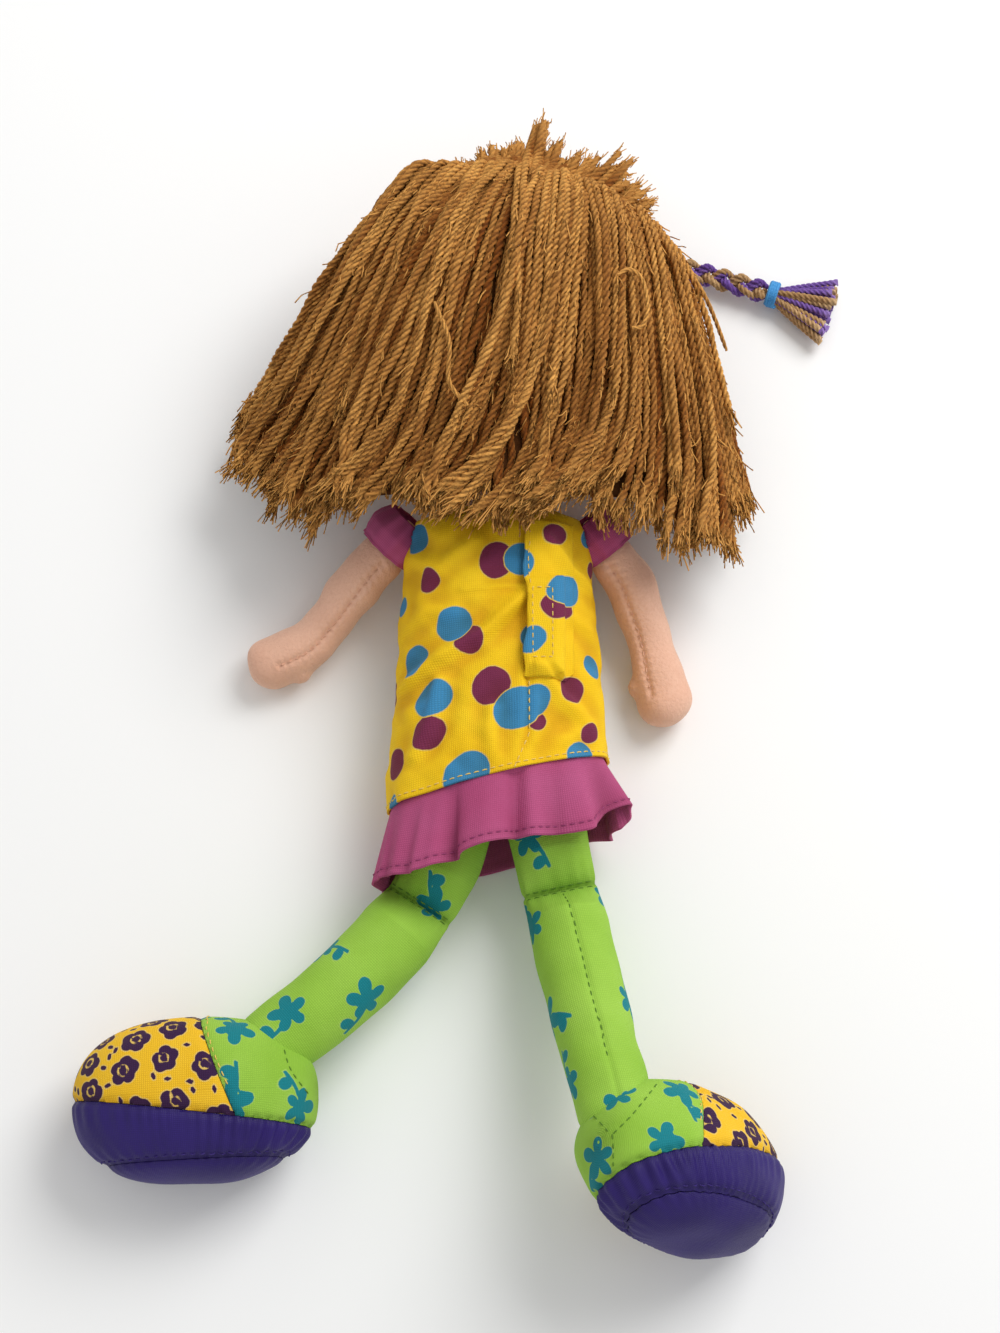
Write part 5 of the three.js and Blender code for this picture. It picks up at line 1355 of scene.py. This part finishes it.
# Shoes: stuffed with the foot in them. A yellow toe piece printed with rosettes, a green heel piece, a side
# band and a sole of dark purple satin, all sewn together with the seams inside; the band is gathered.
satin_weave = {"sheen": 0.08, "roughness": 0.5, "weave": 0.6, "relief": 0.08}
purple_satin = cotton("purple_satin", "#22115A", "#0A0329", "#311C76", **satin_weave)
purple_ink = (("rosette", "#351742"),)
rosette_print = cotton("yellow_rosette_cotton", "#EEB912", "#AE7E04", "#F8CF3C", purple_ink, "#EBC869", sheen=0.06)
purple_thread = floss("purple_thread", "#0E0430", "#4A3690")
foot_half, foot_squareness, shoe_wall = np.array([40, 23, 27]), 2.3, 1.5
foot_steps, heel_flower_gap, shoe_girth, vamp_height = 150, 21, 157, 25
ankle_back, ankle_up = 26, 16
foot_turns = {"left": (2, 0, 3), "right": (45, 36, 12)}
sole_level, stitch_level = -20.0, -18.3
band_level, band_slope, vamp_start, vamp_slope = -5.0, 0.16, -13.0, 0.37
band_way = np.array([-math.sin(math.atan(band_slope)), 0, math.cos(math.atan(band_slope))])
vamp_way = np.array([math.cos(math.atan(vamp_slope)), 0, -math.sin(math.atan(vamp_slope))])
heel_seams = {
    "left": ([(-69.9, -133.1), (-66.8, -142.6), (-60.3, -151.4)],),
    "right": (
        [(50.4, -148.7), (45.6, -154.9), (41.2, -160.1), (35.5, -165.7)],
        [(27.7, -156.5), (31.1, -160.9), (34.2, -164.9)],
        [(35.2, -165.1), (35.5, -170.0), (35.4, -175.5)],
    ),
}


def square_to(local, outward, at):
    """Every point seen square to the surface at one of them: its place there, and how far in front it is."""
    across = unit(np.cross(outward[at], (1, 0, 0)))
    away = local - local[at]
    return np.stack([away @ across, away @ np.cross(outward[at], across)], 1), away @ outward[at]


def flowers_on(local, outward, allowed, scatter):
    """How far inside the nearest flower each point of a rounded piece is, in millimetres."""
    best, chosen = np.full(len(local), -40.0), []
    for at in scatter.choice(np.flatnonzero(allowed), 400):
        if all(np.linalg.norm(local[at] - local[other]) > heel_flower_gap for other in chosen):
            chosen.append(at)
            seen, front = square_to(local, outward, at)
            flower = blossoms(seen, [(0, 0, scatter.uniform(6.2, 7.4), scatter.uniform(0, 2 * np.pi))], 1e6)
            best = np.maximum(best, np.where(front > -14, flower, -40))
    return best


def rosettes_on(local, outward, allowed, scatter):
    """The same for rosettes, each a ring with a heart, and for the small dots between them."""
    best, listed = np.full(len(local), -40.0), []
    for tries, at in enumerate(scatter.choice(np.flatnonzero(allowed), 4000)):
        size, gap = (scatter.uniform(4.7, 5.4), 0.1) if tries < 3600 else (0.9, 0.9)
        if all(np.linalg.norm(local[at] - local[other]) > size + radius + gap for other, radius in listed):
            listed.append((at, size))
    for at, size in listed:
        seen, front = square_to(local, outward, at)
        far, way, lobes = np.hypot(*seen.T), np.arctan2(seen[:, 1], seen[:, 0]), scatter.uniform(0, 2 * np.pi)
        outline = size * (0.7 + 0.27 * np.abs(np.cos(2.5 * way + lobes)) ** 0.6 + 0.06 * np.sin(2 * way + 2 * lobes))
        heart = size * (0.4 + 0.1 * np.cos(way - lobes))
        rosette = np.maximum(np.minimum(outline - far, far - heart), heart - 0.7 - far)
        dot = 1.0 + 0.3 * np.sin(2 * way + lobes) - far
        best = np.maximum(best, np.where(front > -6, rosette if size > 1 else dot, -40))
    return best


for name, side in both_sides:
    dip, tip, yaw = (math.radians(a) for a in foot_turns[name])
    toeward = np.array([side * math.cos(dip), 0, -math.sin(dip)])
    raised = np.array([side * math.sin(dip), 0, math.cos(dip)])
    topward = np.array([0, math.cos(tip), 0]) - raised * math.sin(tip)
    spin = -side * yaw
    turn_by = np.array([[math.cos(spin), -math.sin(spin), 0], [math.sin(spin), math.cos(spin), 0], [0, 0, 1]])
    toeward, topward = turn_by @ toeward, turn_by @ topward
    foot_ways = np.array([toeward, np.cross(topward, toeward), topward])
    middle = joints[f"{name}_ankle_flex"] + toeward * ankle_back - topward * ankle_up

    # The whole foot: its places and ways out are worked out along, across and up it, and then set in the doll.
    rise, turn = np.radians(np.linspace(-89.4, 89.4, foot_steps))[:, None], turns_of(foot_steps)[None, :]
    bulk = squared(np.cos(rise), foot_squareness)
    shares = [bulk * squared(wave, foot_squareness) for wave in (np.cos(turn), np.sin(turn))]
    shares = [squared(np.sin(rise), foot_squareness) + 0 * turn, *shares]
    local = np.stack([half * share.ravel() for half, share in zip(foot_half, shares)], 1)
    lengthwise, sideways, upwards = local.T
    out = unit(local / foot_half**2)
    to_band, to_sole = upwards - (band_level + band_slope * lengthwise), upwards - sole_level
    to_vamp = local @ vamp_way - vamp_start * vamp_way[0]
    puff = -1.0 * hump(to_band, 1.3) - 0.9 * hump(to_sole, 1.2) - 0.8 * hump(to_vamp, 1.2) * (to_band > 0)
    round_band = np.arctan2(sideways, lengthwise)
    gather = np.sin(round_band * 46 + 1.5 * np.sin(round_band * 5)) * hump(to_band + 3.5, 5.0) * (to_band < 1)
    gather += 0.7 * np.sin(round_band * 38 + 2) * hump(to_sole - 2, 4.0)
    gather *= np.clip(-lengthwise / 30 + 0.75, 0.5, 1.2)
    shape = local + out * (puff + 0.5 * gather + waves(local, 24, 120 + side) * 0.5)[:, None]
    placed = middle + shape @ foot_ways
    placed[:, 2] = np.maximum(placed[:, 2], 0.0)
    foot_rings = placed.reshape(foot_steps, foot_steps, 3)
    points, faces, corners = tube(foot_rings)
    flat = cloth_map(foot_rings, True)
    flat[..., 0] *= shoe_girth / flat[0, -1, 0]
    on_heel, on_toe = (to_vamp < 2) & (to_band > 3), (to_vamp > -3) & (to_band > -3)
    # Painted shade: the cloth is darker along the top of the band and the sole seam, where it is pulled in.
    shade = np.clip(hump(to_band, 1.6) * 0.5 + hump(to_sole, 1.3) * 0.5, 0, 0.7)
    fields = {
        "flower": np.r_[flowers_on(local, out, on_heel, np.random.default_rng(131 + side)), -40, -40],
        "rosette": np.r_[rosettes_on(local, out, on_toe, np.random.default_rng(151 + side)), -40, -40],
        "shade": np.r_[shade, 0, 0],
    }
    foot = model(f"{name}_shoe_form", points, faces, purple_satin, corners, flat, fields)
    foot_skin = surface_of(foot)

    # It is cut into its four panels along the sole, the top of the band and the front of the heel piece.
    sole_cut = (np.array([0, 0, sole_level]), np.array([0, 0, 1.0]))
    band_cut = (np.array([0, 0, band_level]), band_way)
    vamp_cut = (np.array([vamp_start, 0, 0]), vamp_way)
    for panel, material, solid, slot, *cuts in (
        ("sole_satin", purple_satin, "sole", "shoe_satin", (sole_cut, -1)),
        ("band_satin", purple_satin, "side_band", "shoe_satin", (sole_cut, 1), (band_cut, -1)),
        ("vamp_cotton", rosette_print, "toe_vamp", "vamp_cotton", (band_cut, 1), (vamp_cut, 1)),
        ("quarter_cotton", green_print, "heel_quarter", "legging_cotton", (band_cut, 1), (vamp_cut, -1)),
    ):
        bm = bmesh.new()
        bm.from_mesh(foot.data)
        for (spot, way), keep in cuts:
            spot, way = middle + spot @ foot_ways, way @ foot_ways
            bmesh.ops.bisect_plane(
                bm,
                geom=[*bm.verts, *bm.edges, *bm.faces],
                plane_co=Vector((spot + way * 0.1 * keep) * MM),
                plane_no=Vector(way * keep),
                clear_inner=True,
            )
        made = linked(f"{name}_{panel}", mesh_of(f"{name}_{panel}", bm, material))
        thickened(made, shoe_wall)
        belongs(made, f"{name}_foot", slot, f"{name}_{solid}")
    bpy.data.objects.remove(foot)

    wide = math.sqrt(max(0.02, 1 - (abs(stitch_level) / foot_half[2]) ** foot_squareness))
    round_sole = np.radians(np.arange(0, 361, 3))
    length, breadth, level = (*(foot_half[:2] * wide), 0 * round_sole + stitch_level)
    sole_line = np.stack([length * np.cos(round_sole), breadth * np.sin(round_sole), level], 1)
    over_vamp = np.radians(np.arange(-88, 89, 3))
    up = np.cos(over_vamp) * vamp_height
    vamp_line = np.stack([vamp_start + up * vamp_slope - 1.6, np.sin(over_vamp) * foot_half[1], up], 1)
    sole_stitches = stitched(foot_skin, middle + sole_line @ foot_ways, length=2.1, gap=0.9)
    vamp_stitches = stitched(foot_skin, middle + vamp_line @ foot_ways, length=2.0, gap=0.9)
    vamp_stitches = [s for s in vamp_stitches if (s.mean(0) - middle) @ topward > -6]
    heel_stitches = []
    for knots in heel_seams[name]:
        heel_stitches += stitched(foot_skin, spline(knots, 40), length=2.0, gap=0.9)
    sewn(f"{name}_sole_stitches", sole_stitches, 0.25, purple_thread, f"{name}_foot")
    sewn(f"{name}_heel_stitches", heel_stitches, 0.24, green_thread, f"{name}_foot")
    sewn(f"{name}_vamp_stitches", vamp_stitches, 0.24, yellow_thread, f"{name}_foot")
